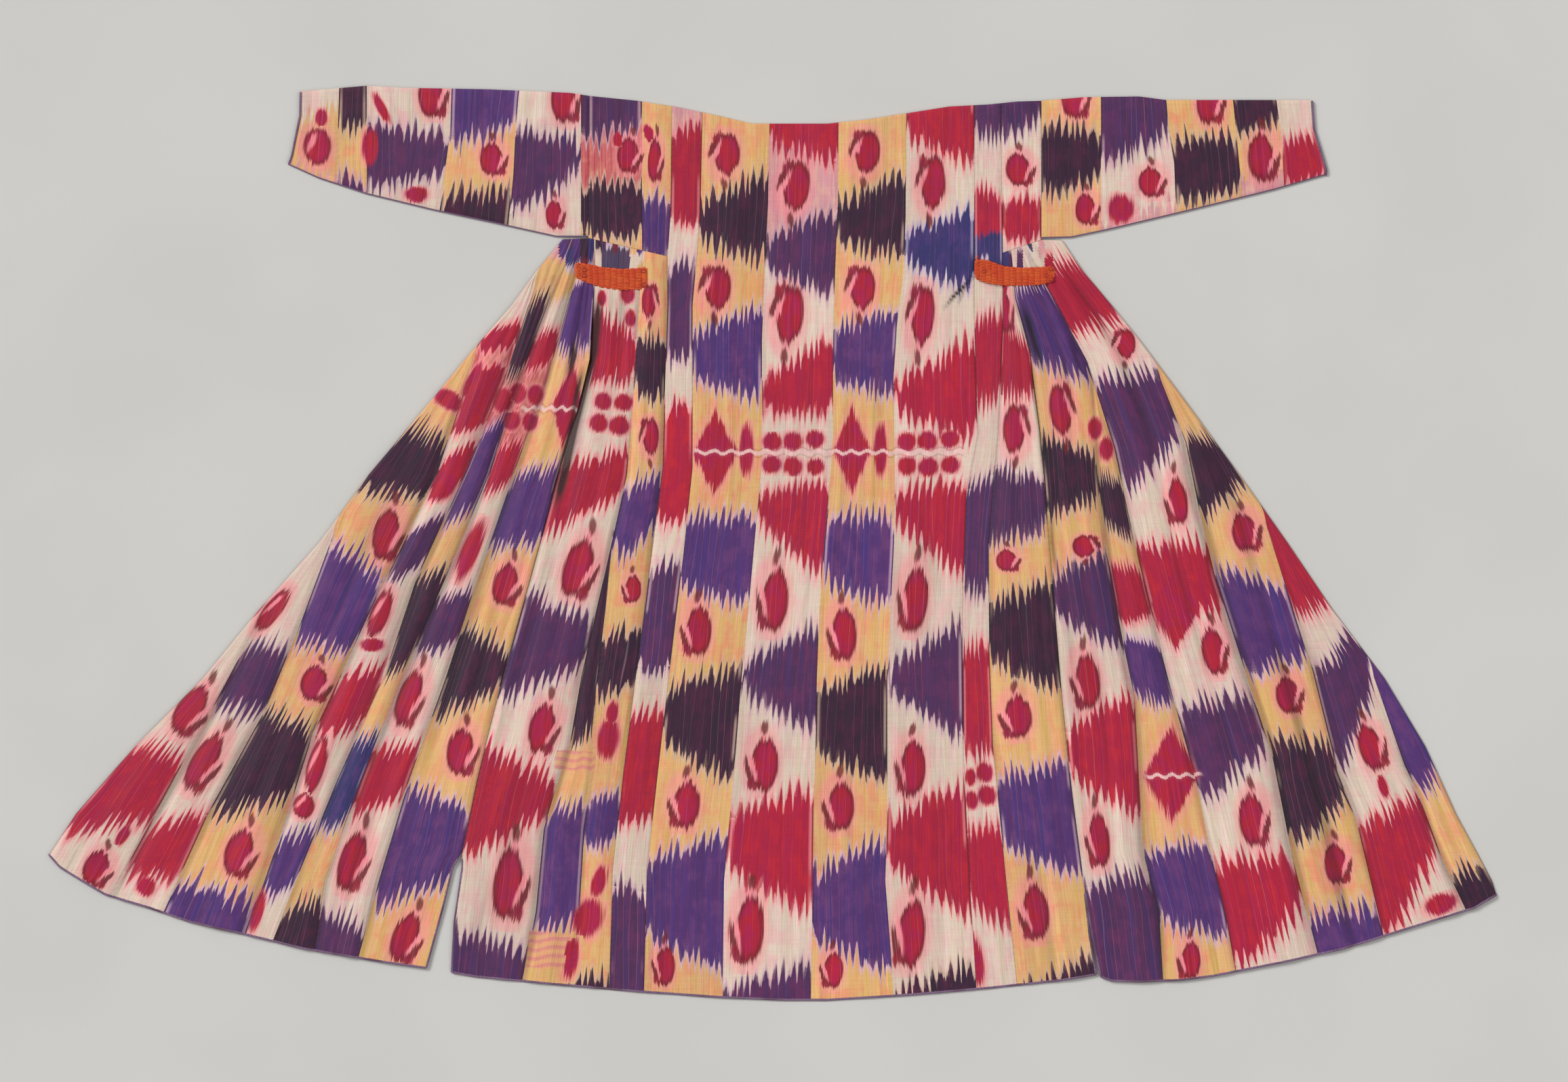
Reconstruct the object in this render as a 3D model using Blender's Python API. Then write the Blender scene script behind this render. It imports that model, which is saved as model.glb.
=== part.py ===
"""A woman's ikat robe of Central Asia (a munisak, the gathered form of the
chapan), laid flat on its fronts with the back upward.

The robe is cut straight from narrow cloth: one loom width down the middle of
the back, a narrow strip each side of it, a small side piece down to the
underarm, a sleeve folded over its upper edge, and skirt sides gathered under
the arm beneath a short band of orange stitching.  Below the underarm a seam
parts each skirt side, and at the hem that seam is left open as a slit.

Frame: the robe lies in the XY plane, +Z up, neck towards +Y, hem towards -Y,
left of the lying robe at -X.  The origin is the middle of the space it fills,
on the surface that it lies on.  Tables and sizes are in millimetres, measured
from a point near the middle of the back, and MIDDLE brings them to the origin.
"""
import bmesh
import bpy
import numpy as np

MM = 0.001

# ---------------------------------------------------------------- sizes, mm
CLOTH = 1.5          # wall of one layer of cloth
SEAM = 0.3           # gap between two pieces at a seam
LAYER = 0.3          # gap between two layers lying on each other
LIFT = CLOTH + LAYER  # height of the back's underside where a front is below
ROLL = 2.5           # how far in from a folded edge the roll is over
INSET = 3.4          # how far the fronts stay inside a folded edge
FRONT_SHORT = 6.0    # the fronts end this far above the back's hem
SLEEVE_GAP = 0.5     # space between the two layers of a sleeve
SETTLE = (40.0, 75.0)  # how far inside the front opening the back sinks down
BAND_WALL = 1.5      # thickness of the orange stitched band
BAND_CLEAR = 0.5     # clearance of the band over the gathers
BAND_END = 4.0       # the band's ends taper over this length
EDGE_FADE = 26.0     # gathers die out over this width beside a strip
MIDDLE = (-1.5, 0.5)  # middle of the whole robe, in the tables' own frame

# ------------------------------------------------------- outline, x and y
# The shoulder and neck edge, read from left to right.
SHOULDER = dict(x=(-260, -191, -134, -77, -30, 75, 132, 189, 246, 303, 341,
                   375),
                y=(628, 621, 612, 600, 589, 589, 595, 604, 613, 616, 620,
                   621))
# The hem, read from left to right.  It jumps a little at each slit.
HEM = dict(x=(-1016, -1000, -969, -937, -874, -819, -736, -658, -544, -487,
              -452, -419, -305, -191, -77, 18, 75, 189, 303, 398, 452, 458,
              474, 512, 569, 616, 712, 798, 919, 981, 1013),
           y=(-436, -454, -473, -492, -511, -530, -549, -568, -587, -595,
              -601, -607, -618, -628, -636, -640, -640, -633, -623, -613,
              -604, -607, -613, -614, -612, -606, -587, -568, -530, -511,
              -492))

# --------------------------------------- seams and folds, each from top down
SEAMS = {
    # name: rows of (x, y)
    "strip_left_outer": ((-143, 614), (-145, 458), (-149, 403), (-149, 334),
                         (-156, 106), (-180, -84), (-211, -321),
                         (-226, -458), (-231, -626)),
    "strip_left_inner": ((-100, 606), (-103, 460), (-114, 334), (-114, 106),
                         (-127, -17), (-152, -227), (-178, -458),
                         (-182, -629)),
    "strip_right_inner": ((281, 615), (281, 306), (286, 154), (270, 68),
                          (264, -93), (266, -293), (274, -464), (284, -626)),
    "strip_right_outer": ((318, 618), (321, 408), (321, 306), (314, 154),
                          (301, 2), (302, -150), (307, -283), (325, -464),
                          (341, -619)),
    "slit_left": ((-252, 426), (-252, 353), (-258, 258), (-274, 192),
                  (-302, 97), (-343, -55), (-380, -188), (-416, -331),
                  (-437, -432)),
    "slit_right": ((333, 411), (338, 345), (359, 268), (373, 159), (381, 62),
                   (393, -84), (404, -216), (418, -348), (436, -487)),
    "fold_left": ((-296, 427), (-333, 382), (-368, 334), (-409, 287),
                  (-488, 192), (-568, 97), (-637, 2), (-722, -93),
                  (-800, -188), (-895, -283), (-978, -378), (-1016, -436)),
    "fold_right": ((405, 425), (434, 382), (474, 334), (512, 287),
                   (583, 192), (653, 97), (720, 2), (784, -93), (856, -188),
                   (913, -283), (956, -378), (987, -435), (1007, -473),
                   (1013, -492)),
}
# Both sides of each slit, from its upper end down to the hem.
SLITS = {
    "left": dict(outer=((-437, -432), (-450, -454), (-464, -511),
                        (-487, -595)),
                 inner=((-437, -432), (-437, -454), (-448, -530),
                        (-452, -601))),
    "right": dict(outer=((436, -487), (446, -550), (458, -607)),
                  inner=((436, -487), (443, -550), (452, -604))),
}
# The open edges of the two fronts, hidden under the back.
FRONT_EDGE = {"left": ((-51, 588), (-512, -592)),
              "right": ((108, 588), (476, -604))}
# The seam between each front and its gathered skirt side.
FRONT_SEAM = {"left": ((-260, 428), (-720, -545)),
              "right": ((375, 425), (690, -590))}

SLEEVES = {
    # rows of (x, y); from the armhole seam out to the cuff
    "left": dict(top=((-260, 628), (-286, 632), (-400, 637), (-514, 639),
                      (-571, 642), (-663, 634)),
                 under=((-260, 430), (-305, 430), (-400, 451), (-476, 467),
                        (-571, 490), (-638, 512), (-680, 531))),
    "right": dict(top=((375, 621), (436, 626), (512, 627), (550, 622),
                       (755, 622)),
                  under=((375, 428), (417, 429), (474, 441), (588, 468),
                         (702, 496), (771, 516))),
}
# Seam between the upper side piece and the gathered skirt, outer end first.
UNDERARM = {"left": ((-260, 428.5), (-149, 403)),
            "right": ((375, 426), (321, 408))}

# ------------------------------------------------------------------ gathers
# Height of the gathered cloth above its flat layer, against y.
CROWN = dict(y=(430, 415, 400, 385, 340, 200, 0, -250, -620),
             high=(0.2, 1.4, 2.4, 2.9, 3.4, 2.9, 1.9, 1.2, 0.8))
# Each soft trough between two pleats: where it starts, where it ends, how wide
# it is and how much of the crown it takes away at its top and at its foot.
PLEATS = {
    "left": (
        # x_top, y_top, x_mid, y_mid, x_foot, y_foot, width, top, foot
        (-296, 427, -429, 106, -714, -587, 15, 0.60, 0.35),
        (-283, 427, -399, 97, -640, -580, 13, 0.55, 0.30),
        (-268, 427, -365, 97, -584, -580, 13, 0.65, 0.35),
        (-252, 426, -302, 97, -437, -421, 17, 0.97, 0.80),
        (-560, 60, -646, -267, -754, -560, 18, 0.40, 0.45),
        (-690, -60, -787, -366, -887, -540, 20, 0.35, 0.45),
        (-222, 420, -206, 97, -270, -188, 12, 0.60, 0.20),
        (-196, 412, -240, -120, -334, -590, 14, 0.45, 0.30),
    ),
    "right": (
        (333, 411, 377, 62, 436, -487, 16, 0.95, 0.70),
        (352, 420, 454, 97, 546, -590, 14, 0.60, 0.35),
        (368, 424, 477, 134, 646, -585, 14, 0.65, 0.35),
        (386, 424, 596, 48, 755, -540, 16, 0.50, 0.40),
        (640, 70, 755, -178, 850, -520, 18, 0.40, 0.45),
        (770, -90, 884, -311, 955, -480, 16, 0.35, 0.35),
    ),
}
# The orange bands: middle line x and y, and the band's half height.
BANDS = {
    "left": dict(x=(-279, -262, -240, -214, -190, -177),
                 y=(381, 376, 371, 369, 369, 371),
                 half=(8, 11, 12.5, 13, 13.5, 13)),
    "right": dict(x=(281, 300, 322, 348, 374, 394),
                  y=(385, 381, 375, 374, 375, 379),
                  half=(12, 14, 12, 11, 11, 9)),
}

# ----------------------------------------------------- how finely cloth is cut
UPPER_ROWS = 6       # rows of the long back pieces above the underarm
LOWER_ROWS = 22      # and below it
SLIT_ROWS = 4        # of which beside the slit
SLEEVE_STATIONS = 10
SLEEVE_ACROSS = 5

COLOURS = {          # plain mean colours of the cloth in each piece
    "back_centre": (0.42, 0.13, 0.16), "back_strip": (0.35, 0.10, 0.16),
    "back_side": (0.30, 0.16, 0.22), "sleeve": (0.28, 0.17, 0.24),
    "skirt_inner": (0.38, 0.15, 0.18), "skirt_outer": (0.33, 0.14, 0.22),
    "gather_band": (0.72, 0.12, 0.02), "front": (0.36, 0.20, 0.22),
    "skirt_front": (0.33, 0.20, 0.24),
}


def clear_scene():
    for ob in list(bpy.data.objects):
        bpy.data.objects.remove(ob, do_unlink=True)


def material(kind):
    mat = bpy.data.materials.get(kind)
    if mat is None:
        mat = bpy.data.materials.new(kind)
        mat.use_nodes = True
        shader = mat.node_tree.nodes["Principled BSDF"]
        shader.inputs["Base Color"].default_value = (*COLOURS[kind], 1.0)
        shader.inputs["Roughness"].default_value = 0.62
        shader.inputs["Metallic"].default_value = 0.0
        mat.diffuse_color = (*COLOURS[kind], 1.0)
    return mat


# ------------------------------------------------------------------ curves
def rows(points):
    return np.array(points, float)


def along(points, t):
    """Points at fractions t of a polyline's length."""
    p = rows(points)
    run = np.r_[0.0, np.cumsum(np.linalg.norm(np.diff(p, axis=0), axis=1))]
    t = np.asarray(t, float) * run[-1]
    return np.stack([np.interp(t, run, p[:, 0]), np.interp(t, run, p[:, 1])], -1)


def at_heights(points, y):
    """Points of a line that runs downwards, at the given heights."""
    p = rows(points)[::-1]
    return np.stack([np.interp(y, p[:, 1], p[:, 0]), y], -1)


def edge_y(table, x):
    return np.interp(x, table["x"], table["y"])


def smooth(low, high, v):
    t = np.clip((v - low) / (high - low), 0.0, 1.0)
    return t * t * (3 - 2 * t)


def inward(points, distance):
    """A polyline moved sideways in its plane by a distance."""
    p = rows(points)
    run = np.gradient(p, axis=0)
    run /= np.linalg.norm(run, axis=1, keepdims=True)
    return p + distance * np.stack([-run[:, 1], run[:, 0]], -1)


def coons(left, right, top, bottom):
    """A patch between four edges: left and right have one point for each row,
    top and bottom one for each column."""
    left, right, top, bottom = map(rows, (left, right, top, bottom))
    n, m = len(left), len(top)
    t = np.array([np.linalg.norm(np.diff(left[:k + 1], axis=0), axis=1).sum()
                  for k in range(n)])
    t = (t / t[-1])[:, None, None]
    s = np.linspace(0, 1, m)[None, :, None]
    ruled = (1 - s) * left[:, None] + s * right[:, None]
    sides = (1 - t) * top[None] + t * bottom[None]
    corners = ((1 - t) * ((1 - s) * left[0] + s * right[0])
               + t * ((1 - s) * left[-1] + s * right[-1]))
    return ruled + sides - corners


# ----------------------------------------------------------------- heights
def inside_opening(x, y):
    """How far a place lies inside the opening between the two fronts."""
    found = []
    for side, sign in (("left", 1.0), ("right", -1.0)):
        (x0, y0), (x1, y1) = FRONT_EDGE[side]
        length = np.hypot(x1 - x0, y1 - y0)
        found.append(sign * ((x - x0) * (y0 - y1) - (y - y0) * (x0 - x1))
                     / length)
    return np.minimum(*found)


def layer_height(x, y):
    """Underside of the flat back: on the fronts, or down between them."""
    return LIFT * (1 - smooth(*SETTLE, inside_opening(x, y)))


def gather_height(side, x, y):
    """Height that the gathers add to a skirt side."""
    crown = np.interp(-y, -np.array(CROWN["y"], float), CROWN["high"])
    kept = np.ones_like(x)
    for x0, y0, x1, y1, x2, y2, width, top, foot in PLEATS[side]:
        line = at_heights(((x0, y0), (x1, y1), (x2, y2)), y)[..., 0]
        # the trough lies across its own slope, so it is a little narrower
        slope = (x2 - x0) / (y0 - y2)
        off = (x - line) / np.hypot(1.0, slope)
        share = top + (foot - top) * np.clip((y0 - y) / (y0 - y2), 0, 1)
        share = share * smooth(y0 + 60, y0 - 10, y) * smooth(
            y2 - 40, y2 + 60, y)
        kept = kept * (1 - share * np.exp(-(off / width) ** 2))
    seam = at_heights(SEAMS[f"strip_{side}_outer"], y)[..., 0]
    beside = smooth(0.0, EDGE_FADE, np.abs(x - seam))
    return crown * kept * beside


def back_height(kind, side, x, y):
    low = layer_height(x, y)
    return low + gather_height(side, x, y) if kind == "skirt" else low


# ------------------------------------------------------------------- solids
def finish(name, kind, verts, faces):
    mesh = bpy.data.meshes.new(name)
    verts = (verts - (*MIDDLE, 0.0)) * MM
    mesh.from_pydata([tuple(v) for v in verts], [], faces)
    bm = bmesh.new()
    bm.from_mesh(mesh)
    bmesh.ops.triangulate(bm, faces=bm.faces[:])
    bmesh.ops.recalc_face_normals(bm, faces=bm.faces[:])
    bm.to_mesh(mesh)
    bm.free()
    mesh.shade_smooth()
    mesh.set_sharp_from_angle(angle=0.7)
    mesh.materials.append(material(kind))
    ob = bpy.data.objects.new(name, mesh)
    bpy.context.scene.collection.objects.link(ob)
    return ob


def wall(name, kind, plan, under, thick=CLOTH):
    """A wall of cloth on a grid of places with the height of its underside."""
    n, m = under.shape
    low = np.concatenate([plan, under[..., None]], -1).reshape(-1, 3)
    high = low + (0, 0, thick)
    verts = np.concatenate([low, high])
    faces, top = [], n * m
    for i in range(n - 1):
        for j in range(m - 1):
            a, b = i * m + j, i * m + j + 1
            c, d = b + m, a + m
            faces.append((a, b, c, d))
            faces.append((top + d, top + c, top + b, top + a))
    rim = ([j for j in range(m)]
           + [i * m + m - 1 for i in range(1, n)]
           + [(n - 1) * m + j for j in range(m - 2, -1, -1)]
           + [i * m for i in range(n - 2, 0, -1)])
    for a, b in zip(rim, rim[1:] + rim[:1]):
        faces.append((b, a, top + a, top + b))
    return finish(name, kind, verts, faces)


# --------------------------------------------------------- rows shared by all
def slit_path(side, which, t):
    """A slit seam from the underarm to the hem, at the shared fractions."""
    seam, open_edge = SEAMS[f"slit_{side}"], SLITS[side][which]
    end = T_SLIT
    y0, ya, y1 = seam[0][1], seam[-1][1], open_edge[-1][1]
    y = np.where(t <= end, y0 + (ya - y0) * t / end,
                 ya + (y1 - ya) * (t - end) / (1 - end))
    points = at_heights(seam, y)
    below = at_heights(open_edge, y)
    points[y < ya] = below[y < ya]
    return points


T_SLIT = 1 - 0.17
DOWN = np.r_[np.linspace(0, T_SLIT, LOWER_ROWS - SLIT_ROWS + 1)[:-1],
             np.linspace(T_SLIT, 1, SLIT_ROWS + 1)]
H_UNDERARM = 0.168


def level_rows(roll):
    """Fractions from shoulder to hem at which the long pieces have rows."""
    upper = np.linspace(0, H_UNDERARM, UPPER_ROWS + 1)[:-1]
    lower = H_UNDERARM + (1 - H_UNDERARM) * DOWN
    first = [0.0, roll / 1230.0]
    return np.r_[first, upper[1:], lower]


LEVELS = level_rows(ROLL)
FROM_UNDERARM = UPPER_ROWS + 1      # the row of LEVELS at the underarm


def seam_points(name):
    """A long seam at every shared level, top end on the shoulder edge."""
    line = SEAMS[name]
    y0 = edge_y(SHOULDER, line[0][0])
    y1 = edge_y(HEM, line[-1][0])
    return at_heights(line, y0 + (y1 - y0) * LEVELS)


# ------------------------------------------------------------------- pieces
def long_panel(name, kind, left, right, columns):
    """A piece from shoulder to hem between two seams."""
    a, b = seam_points(left), seam_points(right)
    a = a + (SEAM / 2, 0)
    b = b - (SEAM / 2, 0)
    s = np.linspace(0, 1, columns + 1)[None, :]
    x = a[:, :1] * (1 - s) + b[:, :1] * s
    ruled = a[:, 1:] * (1 - s) + b[:, 1:] * s
    # the shoulder and hem edges bow a little between the two seams
    bow_top = edge_y(SHOULDER, x[0]) - ruled[0]
    bow_hem = edge_y(HEM, x[-1]) - ruled[-1]
    h = LEVELS[:, None]
    fade = 1 - smooth(0, H_UNDERARM, h)
    y = ruled + bow_top * fade + bow_hem * smooth(0.6, 1.0, h)
    under = layer_height(x, y)
    under[0] = 0.0                      # the roll over the shoulder
    return wall(name, kind, np.stack([x, y], -1), under)


def side_piece(side):
    """The upper side piece, from the shoulder down to the underarm seam."""
    sign = -1 if side == "left" else 1
    inner = seam_points(f"strip_{side}_outer")[:FROM_UNDERARM + 1]
    inner = inner + (sign * SEAM / 2, 0)
    inner[-1] = rows(UNDERARM[side])[-1] + (sign * SEAM / 2, SEAM / 2)
    armhole = UNDERARM[side][0][0]
    y0, y1 = edge_y(SHOULDER, armhole), UNDERARM[side][0][1] + SEAM / 2
    down = LEVELS[:FROM_UNDERARM + 1] / LEVELS[FROM_UNDERARM]
    outer = np.stack([np.full(len(down), armhole - sign * SEAM / 2),
                      y0 + (y1 - y0) * down], -1)
    s = np.linspace(0, 1, 5)[None, :, None]
    plan = outer[:, None] * (1 - s) + inner[:, None] * s
    x, y = plan[..., 0], plan[..., 1]
    bow = edge_y(SHOULDER, x[0]) - y[0]
    y = y + bow * (1 - smooth(0, 1, down))[:, None]
    under = layer_height(x, y)
    under[0] = 0.0
    return wall(f"back_side_{side}", "back_side", np.stack([x, y], -1), under)


def top_line(side, x):
    """The underarm seam, and its short run beyond the armhole."""
    line = rows(UNDERARM[side])
    fold = SEAMS[f"fold_{side}"][0]
    line = np.vstack([(fold[0], fold[1]), line])
    order = np.argsort(line[:, 0])
    return np.interp(x, line[order, 0], line[order, 1]) - SEAM / 2 - 0.1


def skirt_inner(side):
    """The gathered panel between the strip and the slit seam."""
    sign = -1 if side == "left" else 1
    strip = seam_points(f"strip_{side}_outer")[FROM_UNDERARM:]
    strip = strip + (sign * SEAM / 2, 0)
    slit = slit_path(side, "inner", DOWN) - (sign * SEAM / 2, 0)
    slit[0, 1] = top_line(side, slit[0, 0])
    strip[0, 1] = top_line(side, strip[0, 0])
    columns = 9 if side == "left" else 6
    s = np.linspace(0, 1, columns)
    top = np.stack([slit[0, 0] + (strip[0, 0] - slit[0, 0]) * s] * 2, -1)
    top[:, 1] = top_line(side, top[:, 0])
    hem = np.stack([slit[-1, 0] + (strip[-1, 0] - slit[-1, 0]) * s] * 2, -1)
    hem[:, 1] = edge_y(HEM, hem[:, 0])
    slit[-1, 1], strip[-1, 1] = hem[0, 1], hem[-1, 1]
    plan = coons(slit, strip, top, hem)
    x, y = plan[..., 0], plan[..., 1]
    under = back_height("skirt", side, x, y)
    return wall(f"skirt_{side}_inner", "skirt_inner", plan, under)


def skirt_outer(side):
    """The gathered panel from the slit seam out to the fold."""
    sign = -1 if side == "left" else 1
    slit = slit_path(side, "outer", DOWN) + (sign * SEAM / 2, 0)
    slit[0, 1] = top_line(side, slit[0, 0])
    line = along(SEAMS[f"fold_{side}"], DOWN)
    inner = inward(line, -sign * ROLL)
    columns = 20
    s = np.linspace(0, 1, columns)
    inner[0] = (line[0, 0] - sign * ROLL,
                top_line(side, line[0, 0] - sign * ROLL))
    inner[-1, 1] = edge_y(HEM, inner[-1, 0])
    line[0, 1] = top_line(side, line[0, 0])
    top = np.stack([inner[0, 0] + (slit[0, 0] - inner[0, 0]) * s] * 2, -1)
    top[:, 1] = top_line(side, top[:, 0])
    hem = np.stack([inner[-1, 0] + (slit[-1, 0] - inner[-1, 0]) * s] * 2, -1)
    hem[:, 1] = edge_y(HEM, hem[:, 0])
    slit[-1, 1] = hem[-1, 1]
    patch = coons(inner, slit, top, hem)
    plan = np.concatenate([line[:, None], patch], 1)
    x, y = plan[..., 0], plan[..., 1]
    under = back_height("skirt", side, x, y)
    under[:, 0] = 0.0                   # the roll over the folded edge
    return wall(f"skirt_{side}_outer", "skirt_outer", plan, under)


def front_seam(side, t):
    """The seam between a front and its skirt side, ending at the front hem."""
    start, (x, _) = FRONT_SEAM[side]
    return along((start, (x, edge_y(HEM, x) + FRONT_SHORT)), t)


def to_front_hem(line):
    """A line that runs down, ended where it meets the hem of the fronts."""
    above = line[:, 1] - edge_y(HEM, line[:, 0]) - FRONT_SHORT
    k = int(np.argmax(above <= 0))
    share = above[k - 1] / (above[k - 1] - above[k])
    end = line[k - 1] + share * (line[k] - line[k - 1])
    return np.vstack([line[:k], end])


def hem_row(first, last, count):
    """The front hem between two corners."""
    row = along((first, last), np.linspace(0, 1, count))
    row[1:-1, 1] = edge_y(HEM, row[1:-1, 0]) + FRONT_SHORT
    return row


def front(side):
    """One front, flat on the surface under the back."""
    sign = -1 if side == "left" else 1
    n, m, arm = 16, 7, 5
    armhole = UNDERARM[side][0][0] - sign * SEAM / 2
    seam = front_seam(side, np.linspace(0, 1, n - arm)) - (sign * SEAM / 2, 0)
    upper = along(((armhole, edge_y(SHOULDER, armhole) - INSET), seam[0]),
                  np.linspace(0, 1, arm + 1))[:-1]
    outer = np.vstack([upper, seam])
    edge = along(FRONT_EDGE[side], np.linspace(0, 1, n))
    edge[0, 1] = edge_y(SHOULDER, edge[0, 0]) - INSET
    edge[-1, 1] = edge_y(HEM, edge[-1, 0]) + FRONT_SHORT
    top = along((outer[0], edge[0]), np.linspace(0, 1, m))
    top[:, 1] = edge_y(SHOULDER, top[:, 0]) - INSET
    plan = coons(outer, edge, top, hem_row(outer[-1], edge[-1], m))
    return wall(f"front_{side}", "front", plan, np.zeros(plan.shape[:2]))


def skirt_front(side):
    """The front half of a skirt side, flat on the surface."""
    sign = -1 if side == "left" else 1
    m = 7
    t = DOWN.copy()
    t[0] = 0.006                        # its top lies just under the seam
    outer = to_front_hem(inward(along(SEAMS[f"fold_{side}"], t),
                                -sign * INSET))
    seam = front_seam(side, np.linspace(0.006, 1, len(outer)))
    seam = seam + (sign * SEAM / 2, 0)
    top = along((outer[0], seam[0]), np.linspace(0, 1, m))
    plan = coons(outer, seam, top, hem_row(outer[-1], seam[-1], m))
    return wall(f"skirt_front_{side}", "skirt_front", plan,
                np.zeros(plan.shape[:2]))


def sleeve(side):
    """A sleeve as a flattened tube: a wall round a ring at each station."""
    sign = -1 if side == "left" else 1
    t = np.linspace(0, 1, SLEEVE_STATIONS + 1)
    upper, lower = along(SLEEVES[side]["top"], t), along(
        SLEEVES[side]["under"], t)
    upper[0, 0] = lower[0, 0] = UNDERARM[side][0][0] + sign * SEAM / 2
    high = 2 * CLOTH + SLEEVE_GAP
    rings = []
    for inset in (0.0, CLOTH):
        ring_rows = []
        for p, q in zip(lower, upper):
            width = np.linalg.norm(q - p)
            bend = high / 2 - inset
            a, b = inset, inset + bend * 0.85
            c = np.r_[b, np.linspace(b, width - b, SLEEVE_ACROSS + 2)[1:-1],
                      width - b]
            go = [(a, high / 2)]
            go += [(v, high - inset) for v in c]
            go += [(width - a, high / 2)]
            go += [(v, inset) for v in c[::-1]]
            ring_rows.append([np.r_[p + (q - p) * v / width, z]
                              for v, z in go])
        rings.append(np.array(ring_rows))
    outer, inner = rings
    n, m = outer.shape[:2]
    verts = np.concatenate([outer.reshape(-1, 3), inner.reshape(-1, 3)])
    shift, faces = n * m, []
    for i in range(n - 1):
        for j in range(m):
            k = (j + 1) % m
            a, b, c, d = i * m + j, i * m + k, (i + 1) * m + k, (i + 1) * m + j
            faces.append((a, b, c, d))
            faces.append((shift + d, shift + c, shift + b, shift + a))
    for i in (0, n - 1):
        for j in range(m):
            k = (j + 1) % m
            a, b = i * m + j, i * m + k
            faces.append((a, b, shift + b, shift + a))
    return finish(f"sleeve_{side}", "sleeve", verts, faces)


def gather_band(side):
    """The orange band, from the gathers' own surface moved out."""
    table = BANDS[side]
    x = np.linspace(table["x"][0], table["x"][-1], 19)
    y = np.interp(x, table["x"], table["y"])
    half = np.interp(x, table["x"], table["half"])
    ends = np.minimum(x - x[0], x[-1] - x)
    half = half * (0.55 + 0.45 * smooth(0, BAND_END, ends))
    across = np.linspace(1, -1, 5)[:, None]
    plan = np.stack([np.broadcast_to(x, (5, len(x))),
                     y + half * across], -1)
    px, py = plan[..., 0], plan[..., 1]
    skirt = back_height("skirt", side, px, py)
    # the band bridges the small troughs, as stitching drawn tight does
    raised = np.maximum(skirt, np.interp(-py, -np.array(CROWN["y"], float),
                                         CROWN["high"]) * 0.9 + LIFT)
    return wall(f"gather_band_{side}", "gather_band", plan,
                raised + CLOTH + BAND_CLEAR, BAND_WALL)


def build():
    clear_scene()
    long_panel("back_centre", "back_centre", "strip_left_inner",
               "strip_right_inner", 14)
    long_panel("back_strip_left", "back_strip", "strip_left_outer",
               "strip_left_inner", 2)
    long_panel("back_strip_right", "back_strip", "strip_right_inner",
               "strip_right_outer", 2)
    for side in ("left", "right"):
        side_piece(side)
        sleeve(side)
        skirt_inner(side)
        skirt_outer(side)
        front(side)
        skirt_front(side)
        gather_band(side)


build()
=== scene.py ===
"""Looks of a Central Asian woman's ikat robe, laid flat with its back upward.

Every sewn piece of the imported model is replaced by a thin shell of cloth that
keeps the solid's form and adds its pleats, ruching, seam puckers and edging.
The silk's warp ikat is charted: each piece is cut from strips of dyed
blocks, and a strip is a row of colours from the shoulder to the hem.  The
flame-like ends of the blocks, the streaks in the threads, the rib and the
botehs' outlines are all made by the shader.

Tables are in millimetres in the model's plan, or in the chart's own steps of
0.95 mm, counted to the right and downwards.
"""

import math

import bpy
import numpy as np
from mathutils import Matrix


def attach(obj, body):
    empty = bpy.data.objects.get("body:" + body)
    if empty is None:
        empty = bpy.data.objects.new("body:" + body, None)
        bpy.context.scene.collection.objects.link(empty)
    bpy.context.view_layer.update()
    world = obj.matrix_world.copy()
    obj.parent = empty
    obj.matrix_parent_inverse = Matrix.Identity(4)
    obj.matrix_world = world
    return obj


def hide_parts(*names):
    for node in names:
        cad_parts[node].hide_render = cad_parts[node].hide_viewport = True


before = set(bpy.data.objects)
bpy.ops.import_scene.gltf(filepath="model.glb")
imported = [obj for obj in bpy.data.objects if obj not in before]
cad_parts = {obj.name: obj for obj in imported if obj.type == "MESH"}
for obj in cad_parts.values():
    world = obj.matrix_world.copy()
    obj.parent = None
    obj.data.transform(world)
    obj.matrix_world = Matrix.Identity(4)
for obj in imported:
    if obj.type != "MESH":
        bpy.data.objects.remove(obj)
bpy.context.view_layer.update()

MM = 0.001
STEP = 0.95                    # mm in one step of the chart
CHART_MIDDLE = (1141.5, 802.0)  # the chart's steps at x = 0, y = 0
MIDDLE = (-1.5, 0.5)           # the model's origin, in the tables' millimetres

# ---------------------------------------------------------------- sizes, mm
CLOTH = 1.5          # wall of the model's cloth, with its lining
SHELL = 0.8          # wall of the cloth that is shown
LIFT = 1.8           # the back's underside where a front lies below it
SETTLE = (40.0, 75.0)
EDGE_FADE = 26.0
INSET = 3.4
FRONT_SHORT = 6.0
ROLL = 4.0           # radius of the roll at a folded edge
ROLL_LOW = 0.95      # top of the cloth at the very edge of a fold
GAP = 0.12           # half of the gap between two pieces at a seam
ROW_PITCH = 4.2      # rows of cells along the warp
CELL = 3.1           # cells across a strip at its widest
BUNDLE = 10.2        # width of one tied bundle of warp threads

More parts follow.
